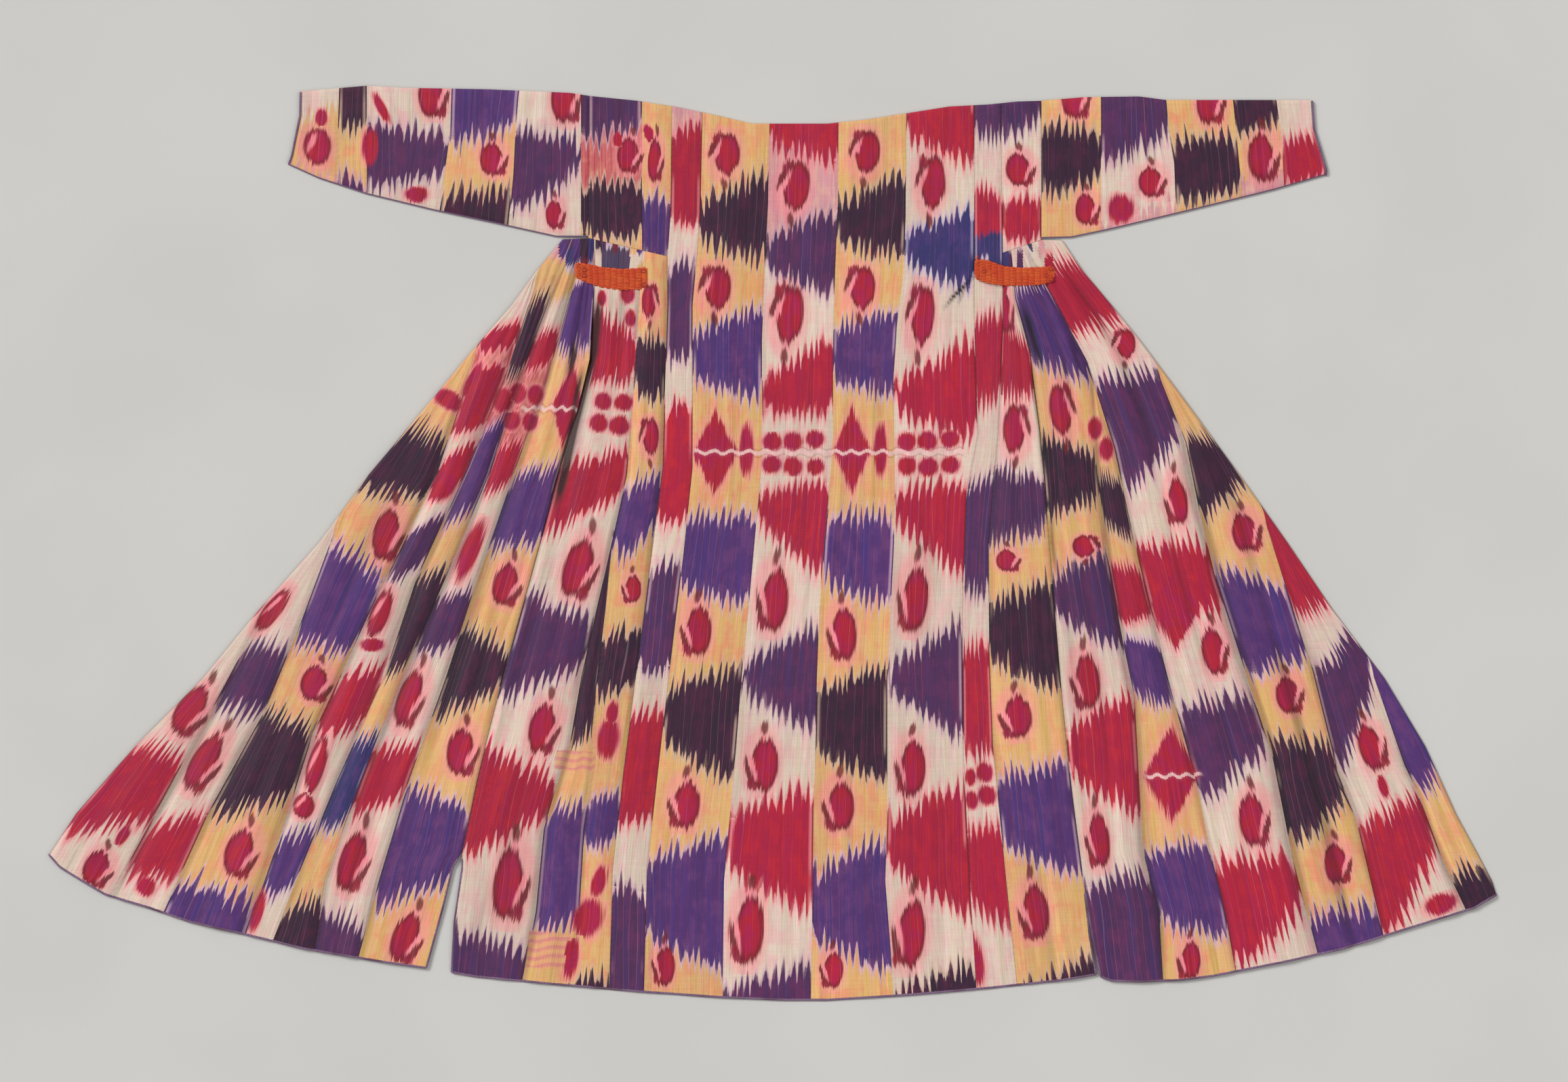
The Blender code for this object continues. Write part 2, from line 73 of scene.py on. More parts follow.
# ------------------------------------------------------- outline, x and y
SHOULDER = dict(x=(-260, -191, -134, -77, -30, 75, 132, 189, 246, 303, 341,
                   375),
                y=(628, 621, 612, 600, 589, 589, 595, 604, 613, 616, 620,
                   621))
HEM = dict(x=(-1016, -1000, -969, -937, -874, -819, -736, -658, -544, -487,
              -452, -419, -305, -191, -77, 18, 75, 189, 303, 398, 452, 458,
              474, 512, 569, 616, 712, 798, 919, 981, 1013),
           y=(-436, -454, -473, -492, -511, -530, -549, -568, -587, -595,
              -601, -607, -618, -628, -636, -640, -640, -633, -623, -613,
              -604, -607, -613, -614, -612, -606, -587, -568, -530, -511,
              -492))
FRONT_EDGE = {"left": ((-51, 588), (-512, -592)),
              "right": ((108, 588), (476, -604))}
FRONT_SEAM = {"left": ((-260, 428), (-720, -545)),
              "right": ((375, 425), (690, -590))}
SLEEVES = {
    "left": dict(top=((-260, 628), (-286, 632), (-400, 637), (-514, 639),
                      (-571, 642), (-663, 634)),
                 under=((-260, 430), (-305, 430), (-400, 451), (-476, 467),
                        (-571, 490), (-638, 512), (-680, 531))),
    "right": dict(top=((375, 621), (436, 626), (512, 627), (550, 622),
                       (755, 622)),
                  under=((375, 428), (417, 429), (474, 441), (588, 468),
                         (702, 496), (771, 516))),
}
UNDERARM = {"left": ((-296, 427), (-260, 428.5), (-149, 403)),
            "right": ((321, 408), (375, 426), (405, 425))}

# Seams and folds in millimetres, each from the top down.
SEAM_LINES = {
    "strip_left_outer": ((-143, 614), (-145, 458), (-149, 403), (-149, 334),
                         (-156, 106), (-180, -84), (-211, -321),
                         (-226, -458), (-231, -626)),
    "strip_left_inner": ((-100, 606), (-103, 460), (-114, 334), (-114, 106),
                         (-127, -17), (-152, -227), (-178, -458),
                         (-182, -629)),
    "strip_right_inner": ((281, 615), (281, 306), (286, 154), (270, 68),
                          (264, -93), (266, -293), (274, -464), (284, -626)),
    "strip_right_outer": ((318, 618), (321, 408), (321, 306), (314, 154),
                          (301, 2), (302, -150), (307, -283), (325, -464),
                          (341, -619)),
    "slit_left_outer": ((-252, 426), (-252, 353), (-258, 258), (-274, 192),
                        (-302, 97), (-343, -55), (-380, -188), (-416, -331),
                        (-437, -432), (-450, -454), (-464, -511),
                        (-487, -595)),
    "slit_left_inner": ((-252, 426), (-252, 353), (-258, 258), (-274, 192),
                        (-302, 97), (-343, -55), (-380, -188), (-416, -331),
                        (-437, -432), (-437, -454), (-448, -530),
                        (-452, -601)),
    "slit_right_outer": ((333, 411), (338, 345), (359, 268), (373, 159),
                         (381, 62), (393, -84), (404, -216), (418, -348),
                         (436, -487), (446, -550), (458, -607)),
    "slit_right_inner": ((333, 411), (338, 345), (359, 268), (373, 159),
                         (381, 62), (393, -84), (404, -216), (418, -348),
                         (436, -487), (443, -550), (452, -604)),
    "fold_left": ((-296, 427), (-333, 382), (-368, 334), (-409, 287),
                  (-488, 192), (-568, 97), (-637, 2), (-722, -93),
                  (-800, -188), (-895, -283), (-978, -378), (-1016, -436)),
    "fold_right": ((405, 425), (434, 382), (474, 334), (512, 287),
                   (583, 192), (653, 97), (720, 2), (784, -93), (856, -188),
                   (913, -283), (956, -378), (987, -435), (1007, -473),
                   (1013, -492)),
    "arm_left": ((-260, 640), (-260, 420)),
    "arm_right": ((375, 640), (375, 420)),
    # boundaries of the dyed strips inside the skirt sides
    "a": ((-757, -174), (-831, -312), (-922, -479), (-982, -587)),
    "b": ((-621, 3), (-669, -127), (-712, -231), (-787, -366), (-853, -511),
          (-887, -587)),
    "c": ((-429, 230), (-472, 97), (-554, -70), (-646, -267), (-675, -359),
          (-729, -516), (-754, -587)),
    "d": ((-338, 353), (-377, 230), (-429, 106), (-503, -55), (-547, -188),
          (-612, -331), (-670, -473), (-714, -587)),
    "e": ((-310, 353), (-357, 230), (-399, 97), (-463, -55), (-521, -188),
          (-578, -331), (-629, -473), (-647, -587)),
    "f": ((-284, 353), (-317, 230), (-365, 97), (-417, -55), (-460, -188),
          (-511, -331), (-554, -473), (-584, -587)),
    "k": ((386, 355), (439, 256), (477, 134), (512, -27), (538, -132),
          (561, -221), (593, -338), (612, -431), (632, -515), (646, -593)),
    "l": ((531, 258), (577, 142), (596, 48), (619, -48), (651, -149),
          (698, -294), (726, -436), (755, -547)),
    "m": ((686, 38), (714, -50), (755, -178), (790, -320), (815, -383),
          (850, -531)),
    "n": ((840, -184), (884, -311), (903, -349), (941, -452), (966, -505)),
}
# Boundaries of dyed strips, in steps of the chart, each from the top down.
CHART_LINES = {
    "q1": ((1135, 180), (1133, 300), (1128, 400), (1124, 500), (1124, 680),
           (1113, 800), (1104, 900), (1094, 1000), (1086, 1100),
           (1075, 1220), (1068, 1300), (1066, 1476)),
    "q2": ((1237, 180), (1236, 300), (1232, 400), (1229, 500), (1229, 640),
           (1222, 740), (1216, 800), (1209, 900), (1205, 1000),
           (1203, 1100), (1200, 1200), (1199, 1300), (1196, 1476)),
    "q3": ((1337, 160), (1336, 320), (1333, 400), (1323, 480), (1318, 560),
           (1320, 700), (1319, 800), (1313, 920), (1309, 1000),
           (1309, 1200), (1306, 1300), (1314, 1400), (1318, 1472)),
    "h": ((952, 350), (945, 400), (940, 500), (925, 700), (857, 1000),
          (840, 1100), (818, 1170), (802, 1223), (790, 1346), (769, 1452)),
    "i": ((903, 800), (893, 900), (879, 1018), (873, 1141), (862, 1223),
          (854, 1352), (838, 1452)),
    "j": ((1612, 545), (1619, 700), (1634, 820), (1656, 944), (1674, 1030),
          (1686, 1256), (1710, 1344), (1716, 1447)),
    "s0": ((500, 130), (496, 290)),
    "s1": ((541, 130), (541, 290)),
    "s2": ((666, 130), (664, 195), (650, 300), (648, 312)),
    "s3": ((766, 130), (760, 200), (757, 260), (750, 330)),
    "s4": ((947, 140), (947, 390)),
    "s5": ((857, 140), (857, 390)),
    "r1": ((1624, 140), (1624, 330)),
    "r2": ((1720, 140), (1724, 190), (1732, 240), (1735, 320)),
    "r3": ((1818, 140), (1824, 200), (1830, 260), (1832, 300)),
    "r4": ((1882, 140), (1890, 200), (1896, 300)),
    "cuff_left": ((443, 130), (442, 170), (430, 229), (426, 240),
                  (425, 250), (424, 290)),
    "cuff_right": ((1936, 146), (1939, 190), (1953, 236), (1957, 250),
                   (1954, 310)),
}

# ------------------------------------------------------------- the ikat chart
# Dyes, in the order in which the shader's ramps hold them.
DYES = ("yellow", "white", "red", "violet", "purple", "dark", "pink",
        "lining", "navy", "slate", "salmon", "maroon")
Y_, W_, R_, V_, P_, D_, K_, L_, N_, G_, A_, M_ = range(12)

# For each piece, its strips from left to right: the strip's two boundaries,
# then its blocks from the top down, each with its dye and the chart row at
# which it starts on the left and on the right boundary.
STRIPS = {
    "back_centre": (
        ("strip_left_inner", "q1", (
            (Y_, 150, 150), (D_, 302, 255), (Y_, 352, 380), (V_, 492, 455),
            (Y_, 558, 582), (V_, 765, 765), (Y_, 862, 888), (D_, 1020, 985),
            (Y_, 1090, 1150), (V_, 1275, 1235), (Y_, 1373, 1432))),
        ("q1", "q2", (
            (R_, 150, 150), (K_, 208, 240), (P_, 355, 310), (W_, 395, 432),
            (R_, 564, 500), (W_, 606, 604), (R_, 732, 712), (W_, 760, 848),
            (P_, 980, 922), (W_, 1012, 1076), (R_, 1208, 1162),
            (W_, 1275, 1345), (P_, 1466, 1424))),
        ("q2", "q3", (
            (Y_, 150, 150), (D_, 302, 258), (Y_, 352, 378), (V_, 488, 460),
            (Y_, 558, 580), (V_, 765, 765), (Y_, 850, 888), (D_, 1022, 985),
            (Y_, 1100, 1155), (V_, 1290, 1245), (Y_, 1381, 1430))),
        ("q3", "strip_right_inner", (
            (R_, 150, 150), (W_, 198, 240), (N_, 348, 312), (W_, 382, 426),
            (R_, 568, 504), (W_, 606, 638), (R_, 728, 714), (W_, 762, 850),
            (P_, 988, 922), (W_, 1015, 1086), (R_, 1212, 1160),
            (W_, 1270, 1352), (D_, 1468, 1422))),
    ),
    "back_strip_left": (
        ("strip_left_outer", "strip_left_inner", (
            (K_, 150, 150), (R_, 205, 180), (W_, 322, 330), (P_, 400, 385),
            (W_, 530, 520), (R_, 602, 596), (W_, 765, 765), (P_, 840, 832),
            (W_, 985, 985), (R_, 1060, 1055), (W_, 1215, 1205),
            (P_, 1305, 1318))),
    ),
    "back_strip_right": (
        ("strip_right_inner", "strip_right_outer", (
            (P_, 150, 150), (W_, 195, 205), (R_, 278, 292), (N_, 345, 345),
            (W_, 394, 390), (R_, 478, 470), (W_, 592, 584), (P_, 722, 700),
            (W_, 862, 872), (R_, 962, 950), (W_, 1106, 1104),
            (R_, 1228, 1218), (W_, 1332, 1362))),
    ),
    "back_side_left": (
        ("arm_left", "s4", (
            (P_, 130, 130), (A_, 202, 180), (D_, 274, 274), (Y_, 346, 346))),
        ("s4", "strip_left_outer", (
            (Y_, 130, 130), (V_, 292, 300), (Y_, 386, 382))),
    ),
    "back_side_right": (
        ("strip_right_outer", "arm_right", (
            (P_, 130, 130), (W_, 204, 172), (R_, 300, 294), (W_, 350, 350))),
    ),
    "sleeve_left": (
        ("cuff_left", "s0", ((W_, 120, 120), (Y_, 176, 156),
                             (K_, 244, 262))),
        ("s0", "s1", ((D_, 120, 120), (Y_, 190, 186), (P_, 262, 270))),
        ("s1", "s2", ((W_, 120, 120), (P_, 184, 205), (W_, 272, 254))),
        ("s2", "s3", ((V_, 120, 120), (Y_, 208, 180), (D_, 293, 278))),
        ("s3", "s5", ((W_, 120, 120), (P_, 198, 206), (W_, 314, 244))),
        ("s5", "arm_left", ((P_, 120, 120), (A_, 202, 202),
                            (D_, 272, 272), (Y_, 346, 346))),
    ),
    "sleeve_right": (
        ("arm_right", "r1", ((Y_, 120, 120), (D_, 186, 198),
                             (Y_, 286, 262))),
        ("r1", "r2", ((P_, 120, 120), (W_, 240, 196), (K_, 330, 296))),
        ("r2", "r3", ((Y_, 120, 120), (D_, 210, 204), (Y_, 296, 278))),
        ("r3", "r4", ((D_, 120, 120), (Y_, 196, 176), (K_, 262, 250))),
        ("r4", "cuff_right", ((W_, 120, 120), (R_, 212, 200),
                              (K_, 275, 258))),
    ),
    "skirt_left_outer": (
        ("fold_left", "a", (
            (W_, 900, 900), (R_, 1102, 1118), (W_, 1226, 1205))),
        ("a", "b", (
            (W_, 780, 780), (P_, 955, 958), (W_, 1040, 1050),
            (R_, 1222, 1200), (W_, 1286, 1292))),
        ("b", "c", (
            (Y_, 540, 540), (D_, 632, 650), (Y_, 720, 732), (V_, 800, 862),
            (Y_, 940, 960), (D_, 1050, 1080), (Y_, 1200, 1174),
            (V_, 1305, 1332))),
        ("c", "d", (
            (W_, 340, 340), (R_, 492, 476), (A_, 518, 508), (R_, 552, 540),
            (W_, 640, 622), (R_, 684, 652), (W_, 738, 716), (P_, 790, 756),
            (W_, 856, 832), (R_, 1002, 984), (W_, 1086, 1068),
            (V_, 1242, 1224), (W_, 1318, 1306))),
        ("d", "e", (
            (Y_, 340, 340), (D_, 448, 440), (A_, 554, 545), (V_, 646, 612),
            (Y_, 770, 750), (D_, 858, 838), (Y_, 998, 970),
            (N_, 1096, 1082), (Y_, 1224, 1205), (D_, 1346, 1326))),
        ("e", "f", (
            (Y_, 340, 340), (W_, 448, 430), (R_, 500, 486), (A_, 546, 530),
            (R_, 668, 650), (W_, 724, 708), (P_, 890, 870), (W_, 960, 948),
            (R_, 1110, 1100), (W_, 1200, 1172), (P_, 1350, 1376))),
        ("f", "slit_left_outer", (
            (N_, 330, 330), (Y_, 388, 384), (V_, 426, 412), (Y_, 512, 512),
            (V_, 708, 686), (Y_, 804, 798), (D_, 928, 964),
            (Y_, 1060, 1012), (V_, 1160, 1200), (Y_, 1332, 1300))),
    ),
    "skirt_left_inner": (
        ("slit_left_inner", "h", (
            (W_, 330, 330), (R_, 458, 500), (W_, 560, 556), (R_, 692, 668),
            (W_, 786, 720), (P_, 878, 920), (W_, 1030, 976),
            (R_, 1102, 1156), (W_, 1264, 1200), (P_, 1378, 1406))),
        ("h", "i", (
            (D_, 790, 790), (Y_, 1102, 1070), (V_, 1204, 1190),
            (Y_, 1370, 1352))),
        ("i", "strip_left_outer", (
            (Y_, 330, 330), (D_, 498, 505), (Y_, 575, 592), (V_, 722, 700),
            (Y_, 822, 785), (D_, 946, 925), (Y_, 1028, 1008),
            (V_, 1186, 1172), (Y_, 1246, 1238), (D_, 1452, 1440))),
    ),
    "skirt_right_inner": (
        ("strip_right_outer", "slit_right_inner", (
            (W_, 330, 330), (R_, 484, 506), (W_, 582, 575), (P_, 690, 712),
            (Y_, 800, 772), (D_, 888, 860), (Y_, 968, 1016),
            (V_, 1152, 1124), (Y_, 1244, 1288), (D_, 1472, 1410))),
    ),
    "skirt_right_outer": (
        ("slit_right_outer", "j", (
            (W_, 330, 330), (V_, 424, 420), (Y_, 526, 560), (D_, 644, 680),
            (Y_, 756, 728), (P_, 856, 814), (W_, 904, 956),
            (R_, 1082, 1024), (W_, 1140, 1202), (P_, 1310, 1286))),
        ("j", "k", (
            (Y_, 540, 540), (D_, 704, 712), (Y_, 768, 792), (R_, 834, 846),
            (W_, 915, 905), (V_, 944, 956), (Y_, 1020, 1036),
            (V_, 1262, 1250), (Y_, 1354, 1382))),
        ("k", "l", (
            (W_, 330, 330), (R_, 392, 392), (W_, 490, 464), (P_, 566, 552),
            (W_, 724, 636), (R_, 806, 806), (W_, 918, 894),
            (P_, 1046, 1028), (W_, 1182, 1098), (R_, 1272, 1268),
            (W_, 1428, 1332))),
        ("l", "m", (
            (Y_, 540, 540), (D_, 648, 650), (Y_, 762, 704), (V_, 840, 872),
            (Y_, 992, 962), (D_, 1096, 1100), (Y_, 1246, 1178),
            (V_, 1352, 1340))),
        ("m", "n", (
            (R_, 740, 740), (W_, 902, 884), (P_, 998, 936),
            (W_, 1136, 994), (R_, 1222, 1178), (W_, 1388, 1240))),
        ("n", "fold_right", (
            (V_, 960, 960), (Y_, 1162, 1144), (D_, 1292, 1280))),
    ),
}

# Red figures on the pale blocks: kind, chart column, chart row, width, height
# and lean in degrees, with the top to the right.
NONE, BOTEH, BLOB, SMALL, DIAMOND, DARN = range(6)
B, M, I, N, O, S, Q, T = ("boteh", "turned", "inverted", "reversed", "blob",
                          "small", "diamond", "darn")
FIGURES = {
    "back_centre": (
        (I, 1068, 228, 50, 64, 4), (I, 1170, 275, 52, 76, 8),
        (I, 1275, 225, 50, 66, 6), (I, 1372, 270, 48, 80, 4),
        (I, 1054, 425, 52, 68, 4), (I, 1160, 464, 54, 90, 6),
        (I, 1268, 425, 50, 66, 4), (I, 1357, 466, 46, 92, 6),
        (Q, 1055, 668, 64, 124, 0), (Q, 1257, 664, 54, 126, 0),
        (S, 1101, 664, 20, 70, 0), (S, 1299, 664, 19, 70, 0),
        (S, 1139, 652, 27, 25, 0), (S, 1170, 651, 28, 26, 0),
        (S, 1202, 648, 26, 24, 0), (S, 1138, 685, 27, 25, 0),
        (S, 1170, 688, 28, 26, 0), (S, 1203, 688, 24, 22, 0),
        (S, 1337, 652, 26, 26, 0), (S, 1368, 650, 28, 26, 0),
        (S, 1401, 648, 26, 24, 0), (S, 1338, 687, 26, 26, 0),
        (S, 1369, 689, 28, 26, 0), (S, 1402, 686, 26, 24, 0),
        (B, 1139, 882, 52, 96, 4), (B, 1026, 930, 50, 76, 1),
        (B, 1241, 934, 48, 80, -3), (B, 1346, 882, 50, 98, 5),
        (B, 1123, 1126, 54, 80, 2), (B, 1342, 1132, 50, 84, 1),
        (B, 1008, 1186, 52, 72, 2), (B, 1236, 1188, 52, 74, 0),
        (B, 1101, 1370, 56, 104, 4), (B, 1340, 1375, 54, 104, 4),
        (B, 978, 1424, 38, 58, 0), (B, 1226, 1430, 38, 54, 0)),
    "back_strip_right": (
        (S, 1452, 1140, 24, 28, 0), (S, 1432, 1146, 16, 24, 0),
        (S, 1456, 1174, 28, 28, 0), (S, 1434, 1180, 18, 26, 0),
        (S, 1439, 1416, 24, 66, -8)),
    "back_side_left": (
        (M, 930, 228, 42, 54, 10), (M, 968, 236, 26, 66, 4),
        (S, 957, 198, 14, 26, -20), (S, 912, 206, 16, 22, 10)),
    "back_side_right": ((M, 1506, 249, 48, 50, 0),),
    "sleeve_left": (
        (O, 467, 216, 46, 58, 0), (S, 546, 216, 22, 50, 0),
        (M, 640, 140, 50, 66, 0), (S, 614, 287, 32, 22, 0),
        (M, 729, 234, 46, 50, 0), (M, 836, 146, 50, 70, 0),
        (M, 820, 316, 32, 44, 0), (S, 474, 174, 16, 26, 0),
        (S, 563, 160, 13, 44, -28)),
    "sleeve_right": (
        (M, 1588, 142, 48, 66, 0), (M, 1605, 308, 40, 48, 0),
        (M, 1701, 268, 46, 46, 0), (S, 1654, 308, 36, 40, 0),
        (M, 1787, 150, 48, 66, 0), (M, 1865, 232, 52, 72, 0)),
    "skirt_left_outer": (
        (M, 285, 1048, 52, 84, 34), (M, 146, 1282, 50, 56, 26),
        (O, 402, 900, 28, 84, 38), (S, 549, 951, 34, 18, 0), (M, 305, 1125, 48, 96, 32),
        (S, 216, 1308, 26, 26, 20), (M, 574, 788, 50, 80, 14),
        (M, 468, 1008, 52, 54, 16), (M, 357, 1258, 54, 74, 20),
        (S, 182, 1232, 14, 34, 34), (S, 697, 560, 14, 52, 30),
        (S, 724, 566, 10, 60, 24), (S, 742, 590, 30, 34, 10), (S, 378, 895, 16, 40, 40),
        (O, 560, 905, 32, 80, 22), (O, 466, 1128, 30, 92, 16),
        (O, 448, 1188, 36, 40, 20), (S, 380, 1345, 15, 62, 16),
        (S, 694, 812, 25, 88, 22), (M, 607, 1030, 44, 92, 20),
        (M, 524, 1270, 50, 92, 18), (Q, 838, 598, 44, 118, 8),
        (M, 750, 862, 48, 66, 16), (M, 684, 1108, 52, 72, 10),
        (M, 602, 1384, 50, 80, 22), (S, 662, 590, 44, 26, 30),
(S, 764, 580, 24, 28, 10),
        (S, 790, 582, 22, 28, 10), (S, 755, 620, 24, 28, 10),
        (S, 782, 622, 22, 26, 10), (S, 655, 716, 30, 44, 30)),
    "skirt_left_inner": (
        (S, 890, 592, 25, 24, 0), (S, 920, 594, 26, 24, 0),
        (S, 884, 624, 27, 26, 0), (S, 914, 628, 30, 26, 0),
        (S, 926, 434, 20, 26, 0), (S, 930, 470, 15, 24, 0),
        (S, 888, 440, 12, 22, 0),
        (M, 858, 838, 56, 94, 18), (M, 804, 1074, 50, 78, 14),
        (M, 755, 1303, 59, 112, 8), (I, 957, 645, 32, 56, 0),
        (B, 931, 868, 32, 42, 0), (S, 903, 1052, 16, 32, 8),
        (S, 897, 1090, 30, 56, 8), (S, 884, 1300, 20, 44, 16),
        (S, 868, 1354, 40, 54, 20), (S, 842, 1412, 22, 58, 8),
        (N, 960, 446, 28, 52, 0), (T, 848, 1122, 58, 28, 4),
        (T, 810, 1402, 62, 52, 4)),
    "skirt_right_inner": (
        (M, 1484, 457, 26, 68, -6), (N, 1500, 634, 44, 74, 0),
        (S, 1479, 430, 18, 24, 0),
        (M, 1488, 826, 40, 34, 0), (B, 1497, 1056, 54, 64, -6),
        (B, 1524, 1345, 50, 84, -8)),
    "skirt_right_outer": (
        (N, 1568, 606, 42, 78, -8), (N, 1603, 806, 46, 34, 0),
        (B, 1600, 1004, 48, 84, -6), (B, 1618, 1238, 40, 84, -6),
        (S, 1615, 632, 20, 30, 0), (S, 1632, 662, 20, 32, 0),
        (Q, 1728, 1143, 80, 142, 0),
        (Q, 1734, 896, 72, 124, 0),
        (B, 1753, 1416, 38, 58, 0), (I, 1657, 508, 38, 46, 0),
        (B, 1734, 738, 38, 72, -6), (M, 1793, 958, 44, 72, -6),
        (M, 1851, 1208, 50, 82, -4), (M, 1840, 784, 50, 60, -10),
        (M, 1903, 1024, 46, 58, -6), (M, 1974, 1272, 44, 62, -4),
        (M, 2025, 1100, 46, 72, -16), (S, 2125, 1334, 46, 28, -20),
        (S, 2040, 1160, 14, 34, -16)),
}
# Single ridges in the ruched cloth above the orange bands: chart columns,
# then their colours from the top down to the band.
RIDGE_END = 404
RIDGES = {
    "skirt_left_outer": (
        (810, 824, ((K_, 300), (Y_, 380))),
        (824, 834, ((V_, 300), (K_, 379), (Y_, 387))),
        (834, 846, ((P_, 300), (N_, 366), (Y_, 387))),
        (846, 856, ((V_, 300), (W_, 384))),
        (856, 868, ((D_, 300), (M_, 382)))),
    "skirt_left_inner": (
        (868, 878, ((W_, 300), (K_, 378))),
        (878, 887, ((D_, 300), (W_, 366))),
        (887, 893, ((P_, 300), (G_, 371))),
        (893, 903, ((K_, 300), (G_, 370))),
        (903, 912, ((M_, 300), (G_, 372))),
        (912, 921, ((W_, 300), (G_, 370))),
        (921, 929, ((Y_, 300), (G_, 371))),
        (929, 940, ((Y_, 300), (W_, 373))),
        (940, 950, ((V_, 300), (W_, 374), (Y_, 388)))),
    "back_strip_right": (
        (1430, 1446, ((R_, 312), (N_, 349), (M_, 379))),
        (1446, 1459, ((R_, 312), (N_, 347), (W_, 374))),
        (1459, 1482, ((R_, 312), (N_, 343)))),
    "skirt_right_inner": (
        (1478, 1488, ((N_, 300),)),
        (1488, 1495, ((W_, 300), (P_, 375))),
        (1495, 1501, ((K_, 300), (P_, 380)))),
    "skirt_right_outer": (
        (1500, 1509, ((W_, 300), (P_, 374))),
        (1509, 1517, ((W_, 300),)),
        (1517, 1523, ((G_, 300), (W_, 370))),
        (1523, 1532, ((W_, 300),)),
        (1532, 1541, ((K_, 300), (W_, 378))),
        (1541, 1553, ((W_, 300), (R_, 381)))),
}
# Places that fold deep, with painted shade darkening their colour: chart points, half
# width in mm and depth.
SHADOWS = {
    "back_centre": (
        (((1434, 408), (1420, 424), (1406, 438), (1393, 455)), 2.2, 3.0),
        (((1426, 418), (1420, 432), (1414, 448)), 2.0, 2.6)),
    "skirt_left_inner": (
        (((884, 440), (876, 520), (862, 575), (848, 630), (835, 690),
          (820, 750)), 6.0, 1.9),),
    "skirt_left_outer": (
        (((862, 540), (853, 575), (842, 630), (828, 690), (812, 745)), 4.0,
         1.2),
        (((846, 505), (845, 530), (838, 560)), 4.5, 1.3)),
    "skirt_right_inner": (
        (((1524, 540), (1537, 630), (1543, 700)), 4.5, 1.3),),
    "skirt_right_outer": (
        (((1509, 448), (1522, 495), (1539, 550)), 6.5, 1.3),
        (((1577, 495), (1588, 530), (1602, 570)), 4.0, 0.8),
        (((1540, 640), (1546, 700)), 4.0, 1.4),
        (((1550, 745), (1553, 800), (1560, 860)), 3.0, 0.9)),
}
# Pale wavy threads laid across the strips where the warp was tied once more:
# piece, then the chart columns at which one starts and ends, its row and its
# slope.
THREADS = {
    "back_centre": ((1022, 1424, 667, 0.0),),
    "skirt_left_outer": ((768, 868, 603, 0.0),),
    "skirt_right_outer": ((1690, 1772, 1145, -0.02),),
}

# ------------------------------------------------------------------ gathers
CROWN = dict(y=(430, 415, 400, 385, 340, 200, 0, -250, -620),
             high=(0.2, 1.4, 2.4, 2.9, 3.4, 2.9, 1.9, 1.2, 0.8))
PLEATS = {
    "left": (
        (-296, 427, -429, 106, -714, -587, 15, 0.60, 0.35),
        (-283, 427, -399, 97, -640, -580, 13, 0.55, 0.30),
        (-268, 427, -365, 97, -584, -580, 13, 0.65, 0.35),
        (-252, 426, -302, 97, -437, -421, 17, 0.97, 0.80),
        (-560, 60, -646, -267, -754, -560, 18, 0.40, 0.45),
        (-690, -60, -787, -366, -887, -540, 20, 0.35, 0.45),
        (-222, 420, -206, 97, -270, -188, 12, 0.60, 0.20),
        (-196, 412, -240, -120, -334, -590, 14, 0.45, 0.30),
    ),
    "right": (
        (333, 411, 377, 62, 436, -487, 16, 0.95, 0.70),
        (352, 420, 454, 97, 546, -590, 14, 0.60, 0.35),
        (368, 424, 477, 134, 646, -585, 14, 0.65, 0.35),
        (386, 424, 596, 48, 755, -540, 16, 0.50, 0.40),
        (640, 70, 755, -178, 850, -520, 18, 0.40, 0.45),
        (770, -90, 884, -311, 955, -480, 16, 0.35, 0.35),
    ),
}
